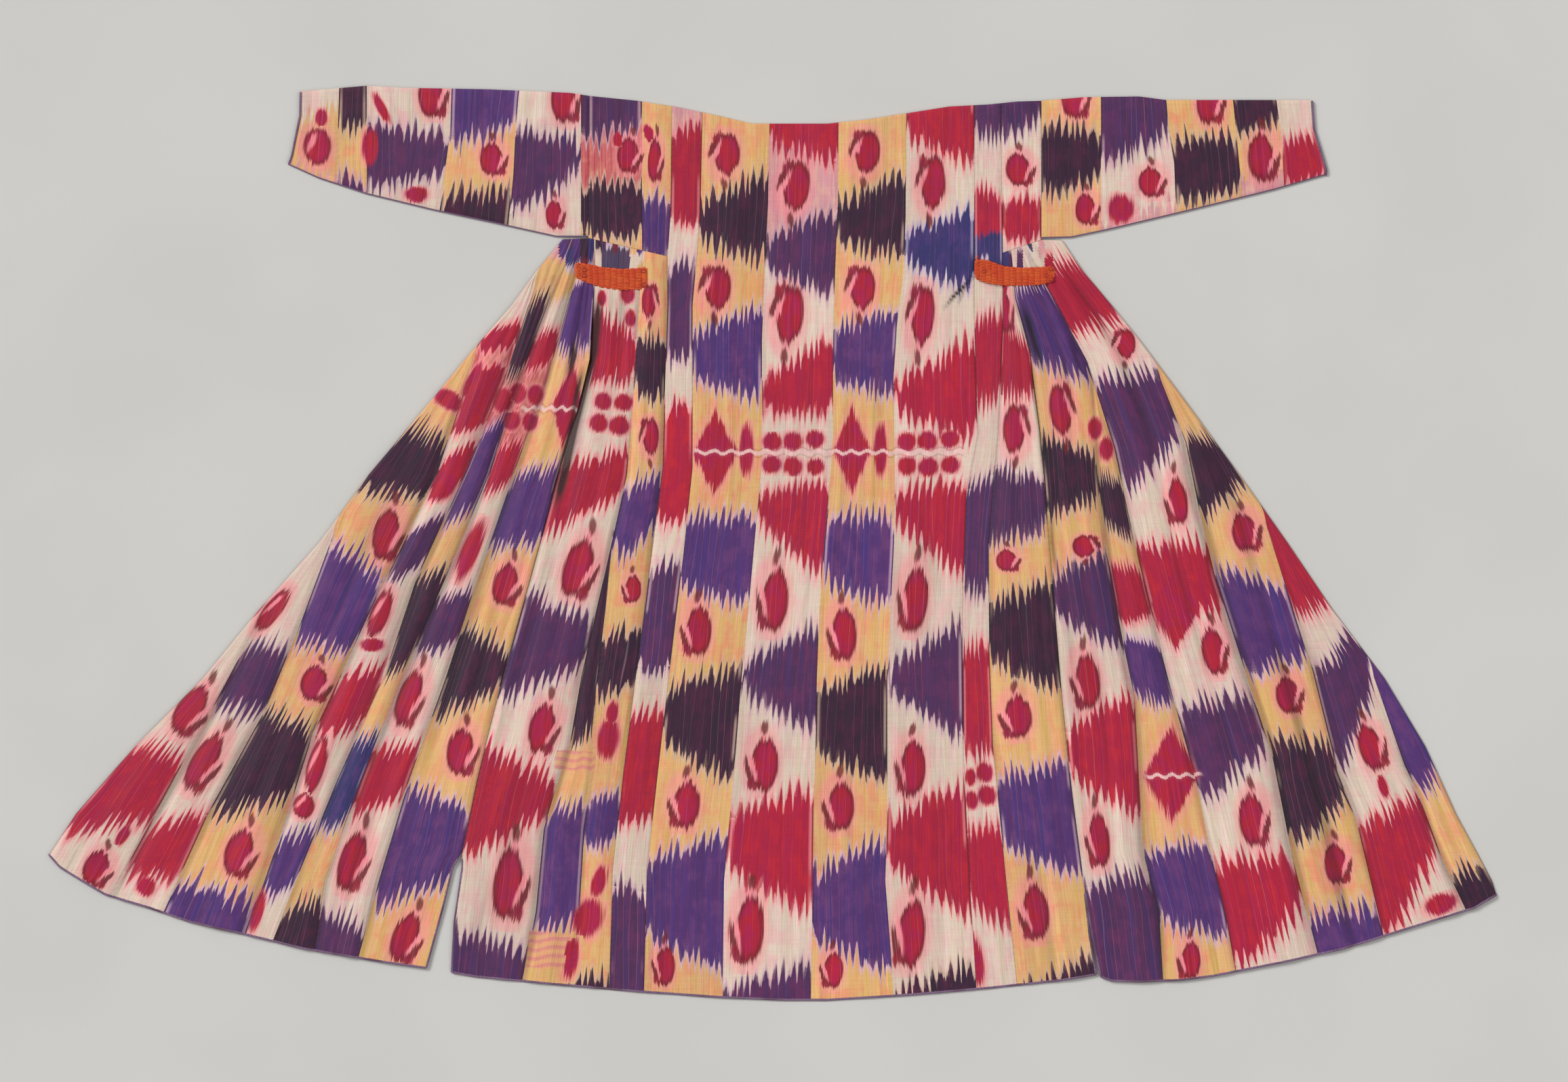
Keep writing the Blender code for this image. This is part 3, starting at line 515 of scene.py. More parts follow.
# Soft folds that follow the fan of the gathers: place across the piece in
# strips from its left edge, level at which it starts and ends (0 at the
# underarm, 1 at the hem), height in mm (a trough if below zero) and width.
FOLDS = {
    "skirt_left_outer": (
        (0.45, 0.60, 1.05, 2.2, 15), (1.05, 0.52, 1.10, -1.5, 7),
        (1.55, 0.45, 0.98, 2.4, 17), (2.02, 0.36, 1.10, -1.6, 7),
        (2.30, 0.30, 0.92, 2.5, 14), (2.66, 0.42, 1.10, 2.0, 13),
        (2.98, 0.12, 1.10, -1.7, 7), (3.40, 0.08, 0.90, 2.6, 12),
        (3.98, 0.04, 1.10, -1.6, 6), (4.42, 0.00, 0.86, 2.8, 11),
        (4.78, 0.30, 1.06, 1.6, 10), (5.02, -0.05, 1.10, -1.8, 6),
        (5.45, -0.05, 0.74, 3.0, 11), (5.80, 0.34, 1.10, 1.8, 11),
        (6.00, -0.05, 1.10, -1.7, 6), (6.38, -0.05, 0.80, 3.2, 11),
        (6.74, 0.02, 1.02, 2.2, 10), (6.93, -0.05, 0.86, 2.6, 6),
    ),
    "skirt_left_inner": (
        (0.10, -0.05, 0.80, 2.4, 7), (0.42, -0.05, 0.92, 2.4, 14),
        (0.74, 0.10, 1.06, 1.6, 12), (1.00, -0.05, 1.10, -1.6, 6),
        (1.50, 0.42, 1.08, 1.6, 14), (2.00, 0.30, 1.10, -1.3, 6),
        (2.36, -0.05, 0.96, 1.8, 11), (2.70, 0.05, 0.70, 1.4, 9),
    ),
    "skirt_right_inner": (
        (0.34, -0.05, 0.84, 1.6, 11), (0.66, 0.06, 1.06, 2.0, 13),
        (0.90, -0.05, 0.90, 2.6, 7),
    ),
    "skirt_right_outer": (
        (0.09, -0.05, 0.88, 2.6, 7), (0.40, -0.05, 0.84, 2.6, 13),
        (0.72, 0.06, 1.04, 2.0, 11), (0.99, 0.10, 1.10, -1.5, 6),
        (1.50, 0.34, 1.06, 1.8, 13), (2.00, -0.05, 1.10, -1.7, 6),
        (2.36, -0.05, 0.80, 2.9, 13), (2.70, 0.14, 1.06, 2.1, 13),
        (3.00, 0.10, 1.10, -1.6, 7), (3.30, 0.22, 0.98, 2.4, 13),
        (3.56, 0.50, 1.10, -1.4, 7), (3.80, 0.34, 1.04, 2.0, 12),
        (4.00, 0.36, 1.10, -1.5, 7), (4.45, 0.40, 1.02, 2.4, 15),
        (4.80, 0.62, 1.10, 1.6, 11), (5.00, 0.56, 1.10, -1.2, 6),
        (5.50, 0.60, 1.06, 2.0, 14),
    ),
}
# Soft creases elsewhere, in mm: x and y of both ends, height and width.
CREASES = {
    "back_centre": (
        (-60, 560, -66, 120, 0.8, 16), (-10, 420, -16, -160, -0.7, 9),
        (60, 560, 52, 240, 0.7, 14), (76, 300, 60, -240, 0.8, 18),
        (150, 540, 150, 60, -0.7, 10), (196, 260, 180, -420, 0.8, 16),
        (240, 520, 250, 120, 0.7, 14), (230, -60, 236, -560, -0.6, 9),
        (-110, -180, -130, -560, 0.8, 16), (-40, -120, -60, -600, 0.7, 15),
        (10, -300, 4, -620, -0.6, 9), (100, -260, 96, -620, 0.7, 14),
        (-20, 590, 70, 560, -0.5, 10), (-90, 604, -40, 556, 0.7, 10),
        (150, 596, 110, 548, 0.7, 10),
    ),
    "sleeve_left": (
        (-300, 600, -420, 560, 1.5, 12), (-280, 470, -400, 520, 1.4, 11),
        (-330, 620, -560, 606, 0.9, 9), (-440, 480, -610, 552, 1.1, 12),
        (-520, 620, -640, 590, 1.0, 10), (-270, 560, -330, 500, -0.8, 7),
        (-560, 590, -668, 566, 0.8, 9),
    ),
    "sleeve_right": (
        (420, 600, 540, 560, 1.5, 12), (400, 468, 520, 512, 1.4, 11),
        (450, 612, 660, 596, 0.9, 9), (560, 486, 720, 540, 1.1, 12),
        (640, 610, 756, 588, 1.0, 10), (388, 560, 440, 500, -0.8, 7),
        (680, 584, 764, 560, 0.8, 9),
    ),
    "back_side_left": ((-250, 600, -200, 470, 0.8, 10),
                       (-236, 450, -180, 420, -0.7, 7)),
    "back_side_right": ((366, 600, 340, 470, 0.8, 10),),
}
BANDS = {
    "left": dict(x=(-279, -262, -240, -214, -190, -177),
                 y=(384, 379, 373, 370, 371, 374),
                 half=(9, 11.5, 12.5, 13, 13, 12.5)),
    "right": dict(x=(281, 300, 322, 348, 374, 394),
                  y=(385, 381, 375, 374, 375, 379),
                  half=(12, 14, 12, 11, 11, 9)),
}


# ------------------------------------------------------------------- lines
def rows(points):
    return np.array(points, float)


LINES = {name: rows(points) for name, points in SEAM_LINES.items()}
for name, points in CHART_LINES.items():
    chart = rows(points)
    LINES[name] = np.stack([(chart[:, 0] - CHART_MIDDLE[0]) * STEP,
                            (CHART_MIDDLE[1] - chart[:, 1]) * STEP], -1)


def line_x(name, y):
    """x of a line at heights y, carried on straight past both its ends."""
    p = LINES[name]
    x = np.interp(-y, -p[:, 1], p[:, 0])
    for k, (i, j) in ((0, (0, 1)), (-1, (-1, -2))):
        slope = (p[i, 0] - p[j, 0]) / (p[i, 1] - p[j, 1])
        past = (y > p[0, 1]) if k == 0 else (y < p[-1, 1])
        x = np.where(past, p[i, 0] + slope * (y - p[i, 1]), x)
    return x


def smooth(low, high, v):
    t = np.clip((v - low) / (high - low), 0.0, 1.0)
    return t * t * (3 - 2 * t)


def edge_y(table, x):
    return np.interp(x, table["x"], table["y"])


def run_y(points, x):
    """y of a line that runs across, at places x."""
    p = rows(points)
    order = np.argsort(p[:, 0])
    return np.interp(x, p[order, 0], p[order, 1])


def along(points, t):
    p = rows(points)
    run = np.r_[0.0, np.cumsum(np.linalg.norm(np.diff(p, axis=0), axis=1))]
    t = np.asarray(t, float) * run[-1]
    return np.stack([np.interp(t, run, p[:, 0]), np.interp(t, run, p[:, 1])],
                    -1)


def lattice(seed, size=64):
    return np.random.default_rng(seed).random((size, size))


def drift(x, y, seed):
    """Smooth noise from -1 to 1 that changes over one unit."""
    table = lattice(seed)
    n = len(table)
    xi, yi = np.floor(x).astype(int), np.floor(y).astype(int)
    fx, fy = x - xi, y - yi
    fx, fy = fx * fx * (3 - 2 * fx), fy * fy * (3 - 2 * fy)
    a = table[xi % n, yi % n] * (1 - fx) + table[(xi + 1) % n, yi % n] * fx
    b = (table[xi % n, (yi + 1) % n] * (1 - fx)
         + table[(xi + 1) % n, (yi + 1) % n] * fx)
    return 2 * (a * (1 - fy) + b * fy) - 1


# ----------------------------------------------------------------- heights
def inside_opening(x, y):
    found = []
    for side, sign in (("left", 1.0), ("right", -1.0)):
        (x0, y0), (x1, y1) = FRONT_EDGE[side]
        length = np.hypot(x1 - x0, y1 - y0)
        found.append(sign * ((x - x0) * (y0 - y1) - (y - y0) * (x0 - x1))
                     / length)
    return np.minimum(*found)


def layer_height(x, y):
    return LIFT * (1 - smooth(*SETTLE, inside_opening(x, y)))


def gather_height(side, x, y):
    crown = np.interp(-y, -np.array(CROWN["y"], float), CROWN["high"])
    kept = np.ones_like(x)
    for x0, y0, x1, y1, x2, y2, width, top, foot in PLEATS[side]:
        line = np.interp(-y, (-y0, -y1, -y2), (x0, x1, x2))
        slope = (x2 - x0) / (y0 - y2)
        off = (x - line) / np.hypot(1.0, slope)
        share = top + (foot - top) * np.clip((y0 - y) / (y0 - y2), 0, 1)
        share = share * smooth(y0 + 60, y0 - 10, y) * smooth(
            y2 - 40, y2 + 60, y)
        kept = kept * (1 - share * np.exp(-(off / width) ** 2))
    seam = line_x(f"strip_{side}_outer", y)
    beside = smooth(0.0, EDGE_FADE, np.abs(x - seam))
    return crown * kept * beside


def crease_height(name, x, y):
    high = np.zeros_like(x)
    for x0, y0, x1, y1, height, width in CREASES.get(name, ()):
        dx, dy = x1 - x0, y1 - y0
        length = math.hypot(dx, dy)
        t = ((x - x0) * dx + (y - y0) * dy) / length ** 2
        off = ((x - x0) * dy - (y - y0) * dx) / length
        off = off + 6 * drift(x / 90, y / 90, 5)
        high += height * np.exp(-(off / width) ** 2) * smooth(
            -0.1, 0.2, t) * smooth(1.1, 0.75, t)
    return high


# ------------------------------------------------------------------ grids
class Grid:
    """The plan of one piece: places on rows and columns of cells."""


def levels(length, pitch, fine_top=False):
    n = max(4, int(round(length / pitch)))
    h = np.linspace(0, 1, n + 1)
    if fine_top:
        first = np.array([0, 0.9, 2.0, 3.4, 5.2]) / length
        h = np.r_[first, h[h > 7.0 / length]]
    return h


def boundary(name, h, top, hem, keep):
    """Places of a strip boundary at all levels."""
    y = np.full(len(h), 0.0)
    x = np.full(len(h), float(LINES[name][:, 0].mean()))
    for _ in range(60):
        t, b = top(x), hem(x)
        y = 0.5 * y + 0.5 * (t - (t - b) * h)
        x = keep(line_x(name, y), y)
    return x


def grid(name, top, hem, length, side_fold=None, fine_top=False,
         pitch=ROW_PITCH, cell=CELL):
    strips = STRIPS[name]
    names = [strips[0][0]] + [s[1] for s in strips]
    if side_fold == "left":
        keep = lambda x, y: np.maximum(x, line_x("fold_left", y))
    elif side_fold == "right":
        keep = lambda x, y: np.minimum(x, line_x("fold_right", y))
    else:
        keep = lambda x, y: x
    h = levels(length, pitch, fine_top)
    bounds = [boundary(n, h, top, hem, keep) for n in names]
    if side_fold == "right":
        for k in range(len(bounds) - 2, -1, -1):
            bounds[k] = np.minimum(bounds[k], bounds[k + 1])
    else:
        for k in range(1, len(bounds)):
            bounds[k] = np.maximum(bounds[k], bounds[k - 1])
    g = Grid()
    g.name, g.h, g.strips = name, h, strips
    place, strip, share, width = [], [], [], []
    for k in range(len(strips)):
        w = (bounds[k + 1] - bounds[k]).max()
        n = max(4, int(round(w / cell)))
        s = np.linspace(0, 1, n + 1)
        if k:
            s = s[1:]
        for v in s:
            place.append(bounds[k] * (1 - v) + bounds[k + 1] * v)
            strip.append(k)
            share.append(v)
        width.append(min(w, 108.0))
    x = np.stack(place, 1)
    first, last = x[:, :1], x[:, -1:]
    if side_fold == "left":
        d = x - first
        x = first + np.where(d < 12, 12 * (np.clip(d, 0, 12) / 12) ** 1.6, d)
    elif side_fold == "right":
        d = last - x
        x = last - np.where(d < 12, 12 * (np.clip(d, 0, 12) / 12) ** 1.6, d)
    x = x.copy()
    x[:, 0] += GAP
    x[:, -1] -= GAP
    x = np.clip(x, x[:, :1], x[:, -1:])
    t, b = top(x), hem(x)
    y = t - (t - b) * h[:, None]
    g.x, g.y = x, y
    g.bounds, g.widths = np.stack(bounds, 1), width
    g.at = np.array(strip) + np.array(share)      # place in strips
    g.from_left, g.from_right = x - first, last - x
    g.from_top, g.from_hem = t - y, y - b
    return g


def fold_height(g):
    """The hand-placed folds of a gathered piece."""
    high = np.zeros_like(g.x)
    order = g.at
    level = g.h[:, None]
    for place, start, end, height, width in FOLDS.get(g.name, ()):
        j = int(np.clip(np.searchsorted(order, place) - 1, 0,
                        len(order) - 2))
        f = (place - order[j]) / (order[j + 1] - order[j])
        line = g.x[:, j] * (1 - f) + g.x[:, j + 1] * f
        wander = 3.0 * drift(g.h * 7 + place, g.h * 0 + place * 3, 11)
        off = g.x - (line + wander)[:, None]
        spread = width * (0.55 + 0.45 * smooth(-0.1, 0.45, level))
        high += height * np.exp(-(off / spread) ** 2) * smooth(
            start, start + 0.14, level) * smooth(end, end - 0.16, level)
    return high


def ruche_height(g):
    """Fine gathers at the band, dying out down the skirt."""
    at = g.at[None, :] + 0 * g.x
    level = g.h[:, None] + 0 * g.x
    wave = at * 3.1 + 0.35 * drift(level * 9, at * 2, 21)
    ridge = 0.5 - 0.5 * np.cos(2 * np.pi * wave)
    uneven = 0.55 + 0.45 * drift(np.floor(wave) * 1.7, level * 5, 22)
    reach = 0.16 + 0.10 * drift(np.floor(wave) * 2.3, 0 * level, 23)
    fade = 1 - smooth(0.03, reach + 0.12, level)
    seam = smooth(0, 5, g.from_left) * smooth(0, 5, g.from_right)
    long_wave = 0.35 * np.sin(2 * np.pi * (at * 1.55 + 0.2 * level))
    return (2.0 * ridge * uneven * fade * smooth(-0.01, 0.02, level)
            + long_wave * (1 - fade)) * seam


def block_of(g, X, Y):
    """Chart facts at every corner of every cell."""
    n, m = g.x.shape
    i, j = np.meshgrid(np.arange(n - 1), np.arange(m - 1), indexing="ij")
    i, j = i.ravel(), j.ravel()
    ci = np.stack([i, i + 1, i + 1, i], 1)
    cj = np.stack([j, j, j + 1, j + 1], 1)
    strip = np.floor(g.at[j] + 1e-9).astype(int)
    # a column on a boundary belongs to the strip on its right
    strip = np.where(np.isclose(g.at[j] % 1, 0) & (j > 0),
                     np.round(g.at[j]).astype(int), strip)
    strip = np.clip(strip, 0, len(g.strips) - 1)
    u01 = np.clip(g.at[cj] - strip[:, None], 0, 1)
    width = np.array(g.widths)[strip][:, None]
    rowv = Y[ci, cj]
    colv = X[ci, cj]
    u = u01 * width
    facts = dict(ci=ci, cj=cj, strip=strip, u=u, u01=u01, width=width,
                 row=rowv, col=colv)
    count = len(i)
    e1, e2 = np.full((count, 4), 99.0), np.full((count, 4), -99.0)
    dye = np.zeros((count, 3))
    tie = np.zeros((count, 2))
    slant = np.zeros((count, 2))
    for k, (_, _, blocks) in enumerate(g.strips):
        pick = np.nonzero(strip == k)[0]
        if not len(pick):
            continue
        kinds = np.array([b[0] for b in blocks], float)
        left = np.array([b[1] for b in blocks[1:]], float)
        right = np.array([b[2] for b in blocks[1:]], float)
        uu, rr = u01[pick], rowv[pick]
        e = (rr[..., None] - (left + (right - left) * uu[..., None])) * STEP
        below = (e.mean(1) > 0).sum(1)
        dye[pick, 0] = kinds[np.maximum(below - 1, 0)]
        dye[pick, 1] = kinds[below]
        dye[pick, 2] = kinds[np.minimum(below + 1, len(kinds) - 1)]
        slope = (right - left) * STEP / g.widths[k]
        has = below > 0
        at = np.nonzero(has)[0]
        e1[pick[at]] = e[at, :, below[at] - 1]
        slant[pick[at], 0] = slope[below[at] - 1]
        has = below < len(left)
        at = np.nonzero(has)[0]
        e2[pick[at]] = e[at, :, below[at]]
        slant[pick[at], 1] = slope[below[at]]
        base = 0.137 * (k + 1)
        # flames reach less far where a block is short
        tall = np.r_[90.0, np.diff((left + right) / 2) * STEP, 90.0]
        reach = np.clip(np.minimum(tall[:-1], tall[1:]) / 8.0, 4, 10)
        reach = np.r_[10.0, np.floor(reach), 10.0]
        tie[pick, 0] = (base + 0.311 * below) % 1 + reach[below]
        tie[pick, 1] = (base + 0.311 * (below + 1)) % 1 + reach[below + 1]
    mc, mr = colv.mean(1), rowv.mean(1)
    for x0, x1, blocks in RIDGES.get(g.name, ()):
        ends = [b[1] for b in blocks[1:]] + [RIDGE_END]
        for k, ((ridge, top), end) in enumerate(zip(blocks, ends)):
            hit = (mc >= x0) & (mc < x1) & (mr >= top) & (mr < end)
            last = k + 1 == len(blocks)
            dye[hit] = (blocks[max(k - 1, 0)][0], ridge,
                        ridge if last else blocks[k + 1][0])
            e1[hit] = (rowv[hit] - top) * STEP if k else 99.0
            e2[hit] = -99.0 if last else (rowv[hit] - end) * STEP
            tie[hit] = (3.2 + 0.31 * k, 3.51 + 0.31 * k)
            slant[hit] = 0.0
    facts.update(e1=e1, e2=e2, dye=dye, tie=tie, slant=slant)
    return facts


def figure_of(name, col, row, cols_at, rows_at):
    """The red figure that each cell belongs to, and its own coordinates."""
    count = len(col)
    p, q = np.zeros((count, 4)), np.full((count, 4), 9.0)
    kind = np.zeros(count)
    best = np.full(count, 1.0)
    mc, mr = col.mean(1), row.mean(1)
    for what, x0, y0, w, h, lean in FIGURES.get(name, ()):
        turn = math.radians(lean)
        near = np.nonzero((abs(mc - x0) < 0.8 * w + 0.6 * h)
                          & (abs(mr - y0) < 1.2 * h))[0]
        if not len(near):
            continue

        def local(c, r):
            dx, dy = c - x0, y0 - r
            a = (dx * math.cos(turn) - dy * math.sin(turn)) / (w / 2)
            b = (dx * math.sin(turn) + dy * math.cos(turn)) / (h / 2)
            if what in ("inverted", "reversed"):
                b = -b
            if what in ("turned", "reversed"):
                a = -a
            return a, b

        a, b = local(mc[near], mr[near])
        low = -1.3
        high = 1.75 if what in ("boteh", "turned", "inverted",
                                "reversed") else 1.3
        off = np.maximum(abs(a) / 1.45, np.where(b > 0, b / high, b / low))
        take = off < best[near]
        at = near[take]
        best[at] = off[take]
        a, b = local(col[at], row[at])
        p[at], q[at] = a, b
        kind[at] = {"boteh": BOTEH, "turned": BOTEH, "inverted": BOTEH,
                    "reversed": BOTEH, "blob": BLOB, "small": SMALL,
                    "diamond": DIAMOND, "darn": DARN}[what]
    return p, q, kind


def thread_of(name, col, row):
    """Distance to a pale thread laid across the strips, in mm, and how
    clear it is there."""
    off, seen = np.full(col.shape, 50.0), np.zeros(col.shape)
    for x0, x1, y0, slope in THREADS.get(name, ()):
        d = (row - (y0 + slope * (col - x0))) * STEP
        near = (abs(d) < 16) & (col > x0 - 12) & (col < x1 + 12)
        off = d
        seen = np.where(near, smooth(x0 - 4, x0 + 6, col)
                        * smooth(x1 + 4, x1 - 6, col), seen)
    return off, seen


# ------------------------------------------------------------------ meshes
def make_mesh(name, verts, quads, layers):
    """A mesh of quads and triangles with facts at its corners."""
    used = np.round(verts / MM, 3)
    _, first, same = np.unique(used, axis=0, return_index=True,
                               return_inverse=True)
    same = same.ravel()
    # merge only the places that coincide
    quads = same[quads]
    verts = verts[first]
    a, b, c, d = quads.T
    four = (a != b) & (b != c) & (c != d) & (d != a) & (a != c) & (b != d)
    three = ~four
    tri_rows, tri_cols = [], []
    for k in np.nonzero(three)[0]:
        kept, ids = [], []
        for n in range(4):
            if quads[k, n] not in ids:
                ids.append(quads[k, n])
                kept.append(n)
        if len(kept) == 3:
            tri_rows.append(k)
            tri_cols.append(kept)
    # faces that fold onto each other are left out
    key = np.sort(quads, axis=1)
    if tri_rows:
        for k, kept in zip(tri_rows, tri_cols):
            ids = sorted(quads[k, kept])
            key[k] = (*ids, -1)
    _, group, count = np.unique(key, axis=0, return_inverse=True,
                                return_counts=True)
    single = count[group.ravel()] == 1
    tri = [(k, kept) for k, kept in zip(tri_rows, tri_cols) if single[k]]
    tri_rows, tri_cols = [t[0] for t in tri], [t[1] for t in tri]
    quad_at = np.nonzero(four & single)[0]
    loops = [quads[quad_at].ravel()]
    source = [(np.repeat(quad_at, 4), np.tile(np.arange(4), len(quad_at)))]
    sizes = [np.full(len(quad_at), 4)]
    if tri_rows:
        tr, tc = np.array(tri_rows), np.array(tri_cols)
        loops.append(quads[tr[:, None], tc].ravel())
        source.append((np.repeat(tr, 3), tc.ravel()))
        sizes.append(np.full(len(tr), 3))
    loops, sizes = np.concatenate(loops), np.concatenate(sizes)
    src_face = np.concatenate([s[0] for s in source])
    src_corner = np.concatenate([s[1] for s in source])
    mesh = bpy.data.meshes.new(name)
    mesh.vertices.add(len(verts))
    mesh.vertices.foreach_set("co", verts.astype(np.float32).ravel())
    mesh.loops.add(len(loops))
    mesh.loops.foreach_set("vertex_index", loops.astype(np.int32))
    mesh.polygons.add(len(sizes))
    starts = np.r_[0, np.cumsum(sizes)[:-1]]
    mesh.polygons.foreach_set("loop_start", starts.astype(np.int32))
    mesh.update(calc_edges=True)
    for key, values in layers.items():
        data = values[src_face, src_corner].astype(np.float32)
        layer = mesh.attributes.new(key, "FLOAT_VECTOR", "CORNER")
        layer.data.foreach_set("vector", data.ravel())
    mesh.validate()
    mesh.shade_smooth()
    mesh.set_sharp_from_angle(angle=0.9)
    ob = bpy.data.objects.new(name, mesh)
    bpy.context.scene.collection.objects.link(ob)
    return ob


def shell_faces(n, m):
    i, j = np.meshgrid(np.arange(n - 1), np.arange(m - 1), indexing="ij")
    i, j = i.ravel(), j.ravel()
    # counter-clockwise seen from above: rows run down, columns to the right
    return np.stack([i * m + j, (i + 1) * m + j, (i + 1) * m + j + 1,
                     i * m + j + 1], 1)


def to_metres(x, y, z):
    return np.stack([(x - MIDDLE[0]) * MM, (y - MIDDLE[1]) * MM, z * MM], -1)


def layers_of(g, X, Y, name=None):
    f = block_of(g, X, Y)
    n = f["ci"].shape[0]
    p, q, kind = figure_of(name or g.name, f["col"], f["row"], None, None)
    off, seen = thread_of(name or g.name, f["col"], f["row"])
    hem = g.from_hem[f["ci"], f["cj"]]
    # painted shade of the troughs and deep folds, carried as the third value of mark
    soil = g.soil[f["ci"], f["cj"]]
    edge = np.minimum(f["u01"], 1 - f["u01"]) * f["width"]
    one = np.ones((n, 4))
    seed = (f["strip"] * 0.173 + g.seed)[:, None] * one
    return {
        "weave": np.stack([f["u"], f["row"] * STEP, seed], -1),
        "edge": np.stack([f["e1"], f["e2"], hem], -1),
        "dye": np.repeat(f["dye"][:, None, :], 4, 1),
        "tie": np.stack([f["tie"][:, :1] * one, f["tie"][:, 1:] * one,
                         0 * one], -1),
        "slant": np.stack([f["slant"][:, :1] * one, f["slant"][:, 1:] * one,
                           edge], -1),
        "figure": np.stack([p, q, kind[:, None] * one], -1),
        "mark": np.stack([off, seen, soil], -1),
    }


def shell(name, g, z, X, Y, layer_name=None, inside_down=True):
    """A closed thin shell on a grid, with its lining on the hidden face."""
    n, m = g.x.shape
    top = to_metres(g.x, g.y, z).reshape(-1, 3)
    low = to_metres(g.x, g.y, z - SHELL).reshape(-1, 3)
    up = shell_faces(n, m)
    layers = layers_of(g, X, Y, layer_name)
    rim = []          # (vertex pair, face, corners)
    cells = m - 1
    face = lambda i, j: i * cells + j
    for j in range(m - 1):
        rim.append((j + 1, j, face(0, j), 3, 0))
        a = (n - 1) * m + j
        rim.append((a, a + 1, face(n - 2, j), 1, 2))
    for i in range(n - 1):
        rim.append((i * m, (i + 1) * m, face(i, 0), 0, 1))
        a = i * m + m - 1
        rim.append((a + m, a, face(i, cells - 1), 2, 3))
    rim = np.array(rim)
    shift = n * m
    side = np.stack([rim[:, 1], rim[:, 0], shift + rim[:, 0],
                     shift + rim[:, 1]], 1)
    down = shift + up[:, ::-1]
    quads = np.concatenate([up, down, side])
    out = {}
    for key, values in layers.items():
        under = values[:, ::-1].copy()
        if key == "tie":
            under[..., 2] = 1.0
            if not inside_down:
                under[..., 2] = 0.0
                values = values.copy()
                values[..., 2] = 1.0
        wall = np.stack([values[rim[:, 2], rim[:, 4]],
                         values[rim[:, 2], rim[:, 3]],
                         values[rim[:, 2], rim[:, 3]],
                         values[rim[:, 2], rim[:, 4]]], 1)
        if key == "tie":
            wall[..., 2] = 0.0
        out[key] = np.concatenate([values, under, wall])
    return make_mesh(name, np.concatenate([top, low]), quads, out)


def chart_place(g):
    return (g.x / STEP + CHART_MIDDLE[0], CHART_MIDDLE[1] - g.y / STEP)


def roll(distance, high, low=ROLL_LOW, radius=ROLL):
    t = np.clip(distance / radius, 0, 1)
    return low + (high - low) * np.sqrt(np.clip(1 - (1 - t) ** 2, 0, 1))


def seam_groove(distance, y, seed):
    """A seam draws the cloth down in a narrow line with small puckers."""
    pucker = 0.16 * np.sin(2 * np.pi * (y / 7.5 + 0.6 * drift(
        y / 30, 0 * y, seed))) * np.exp(-(distance / 5.0) ** 2)
    return -0.62 * np.exp(-(distance / 1.7) ** 2) + pucker


def surface(g, side=None):
    """Top of the cloth of a piece of the back."""
    x, y = g.x, g.y
    under = layer_height(x, y)
    extra = 0.45 * drift(x / 46, y / 130, 31) + 0.22 * drift(
        x / 19, y / 60, 32)
    if side:
        under = under + gather_height(side, x, y)
        extra = extra + fold_height(g) + ruche_height(g)
    extra = extra + crease_height(g.name, x, y)
    z = under + CLOTH + extra
    # the cloth never sinks into the layer below it
    floor = np.minimum(layer_height(x, y), LIFT) * 0.87 + SHELL + 0.1
    return np.maximum(z, floor)


def shadow_of(g):
    """The deep folds, from 0 to their depth; the depth also sets their painted shade.
    """
    X, Y = chart_place(g)
    deep = np.zeros_like(X)
    for points, wide, depth in SHADOWS.get(g.name, ()):
        far = np.full(X.shape, 1e9)
        for (x0, y0), (x1, y1) in zip(points[:-1], points[1:]):
            dx, dy = x1 - x0, y1 - y0
            t = np.clip(((X - x0) * dx + (Y - y0) * dy)
                        / (dx * dx + dy * dy), 0, 1)
            far = np.minimum(far, np.hypot(X - x0 - t * dx, Y - y0 - t * dy))
        first, last = points[0][1], points[-1][1]
        ends = smooth(first - 12, first + 30, Y) * smooth(
            last + 12, last - 40, Y)
        deep = np.maximum(deep, depth * ends * np.exp(
            -(far * STEP / wide) ** 2))
    return deep


def soil_of(g, z):
    """Painted shade: how deep a place lies between its folds, from 0 to 1."""
    wide = z.copy()
    for _ in range(3):
        pad = np.pad(wide, ((0, 0), (6, 6)), mode="edge")
        total = np.cumsum(np.pad(pad, ((0, 0), (1, 0))), axis=1)
        wide = (total[:, 13:] - total[:, :-13]) / 13
    return np.clip((wide - z - 0.25) / 1.4, 0, 1)


PIECES = {}
SURFACES = {}
CUFFS = {}


def band_height(side, x, y):
    """Underside of the orange band, over the gathers."""
    crown = np.interp(-y, -np.array(CROWN["y"], float), CROWN["high"])
    raised = np.maximum(layer_height(x, y) + gather_height(side, x, y),
                        crown * 0.9 + LIFT)
    return raised + CLOTH + 0.25


def band_reach(side, x, y):
    """Distance into the band from its nearest edge, in mm."""
    table = BANDS[side]
    middle = np.interp(x, table["x"], table["y"])
    half = np.interp(x, table["x"], table["half"])
    return np.minimum(half - abs(y - middle), np.minimum(
        x - table["x"][0], table["x"][-1] - x))


def under_band(side, x, y, z):
    """The cloth is held down where the band is stitched over it."""
    inside = band_reach(side, x, y)
    held = band_height(side, x, y) - 0.12
    keep = smooth(-9.0, -0.5, inside)
    return np.minimum(z, held + (z - held).clip(0) * (1 - keep))


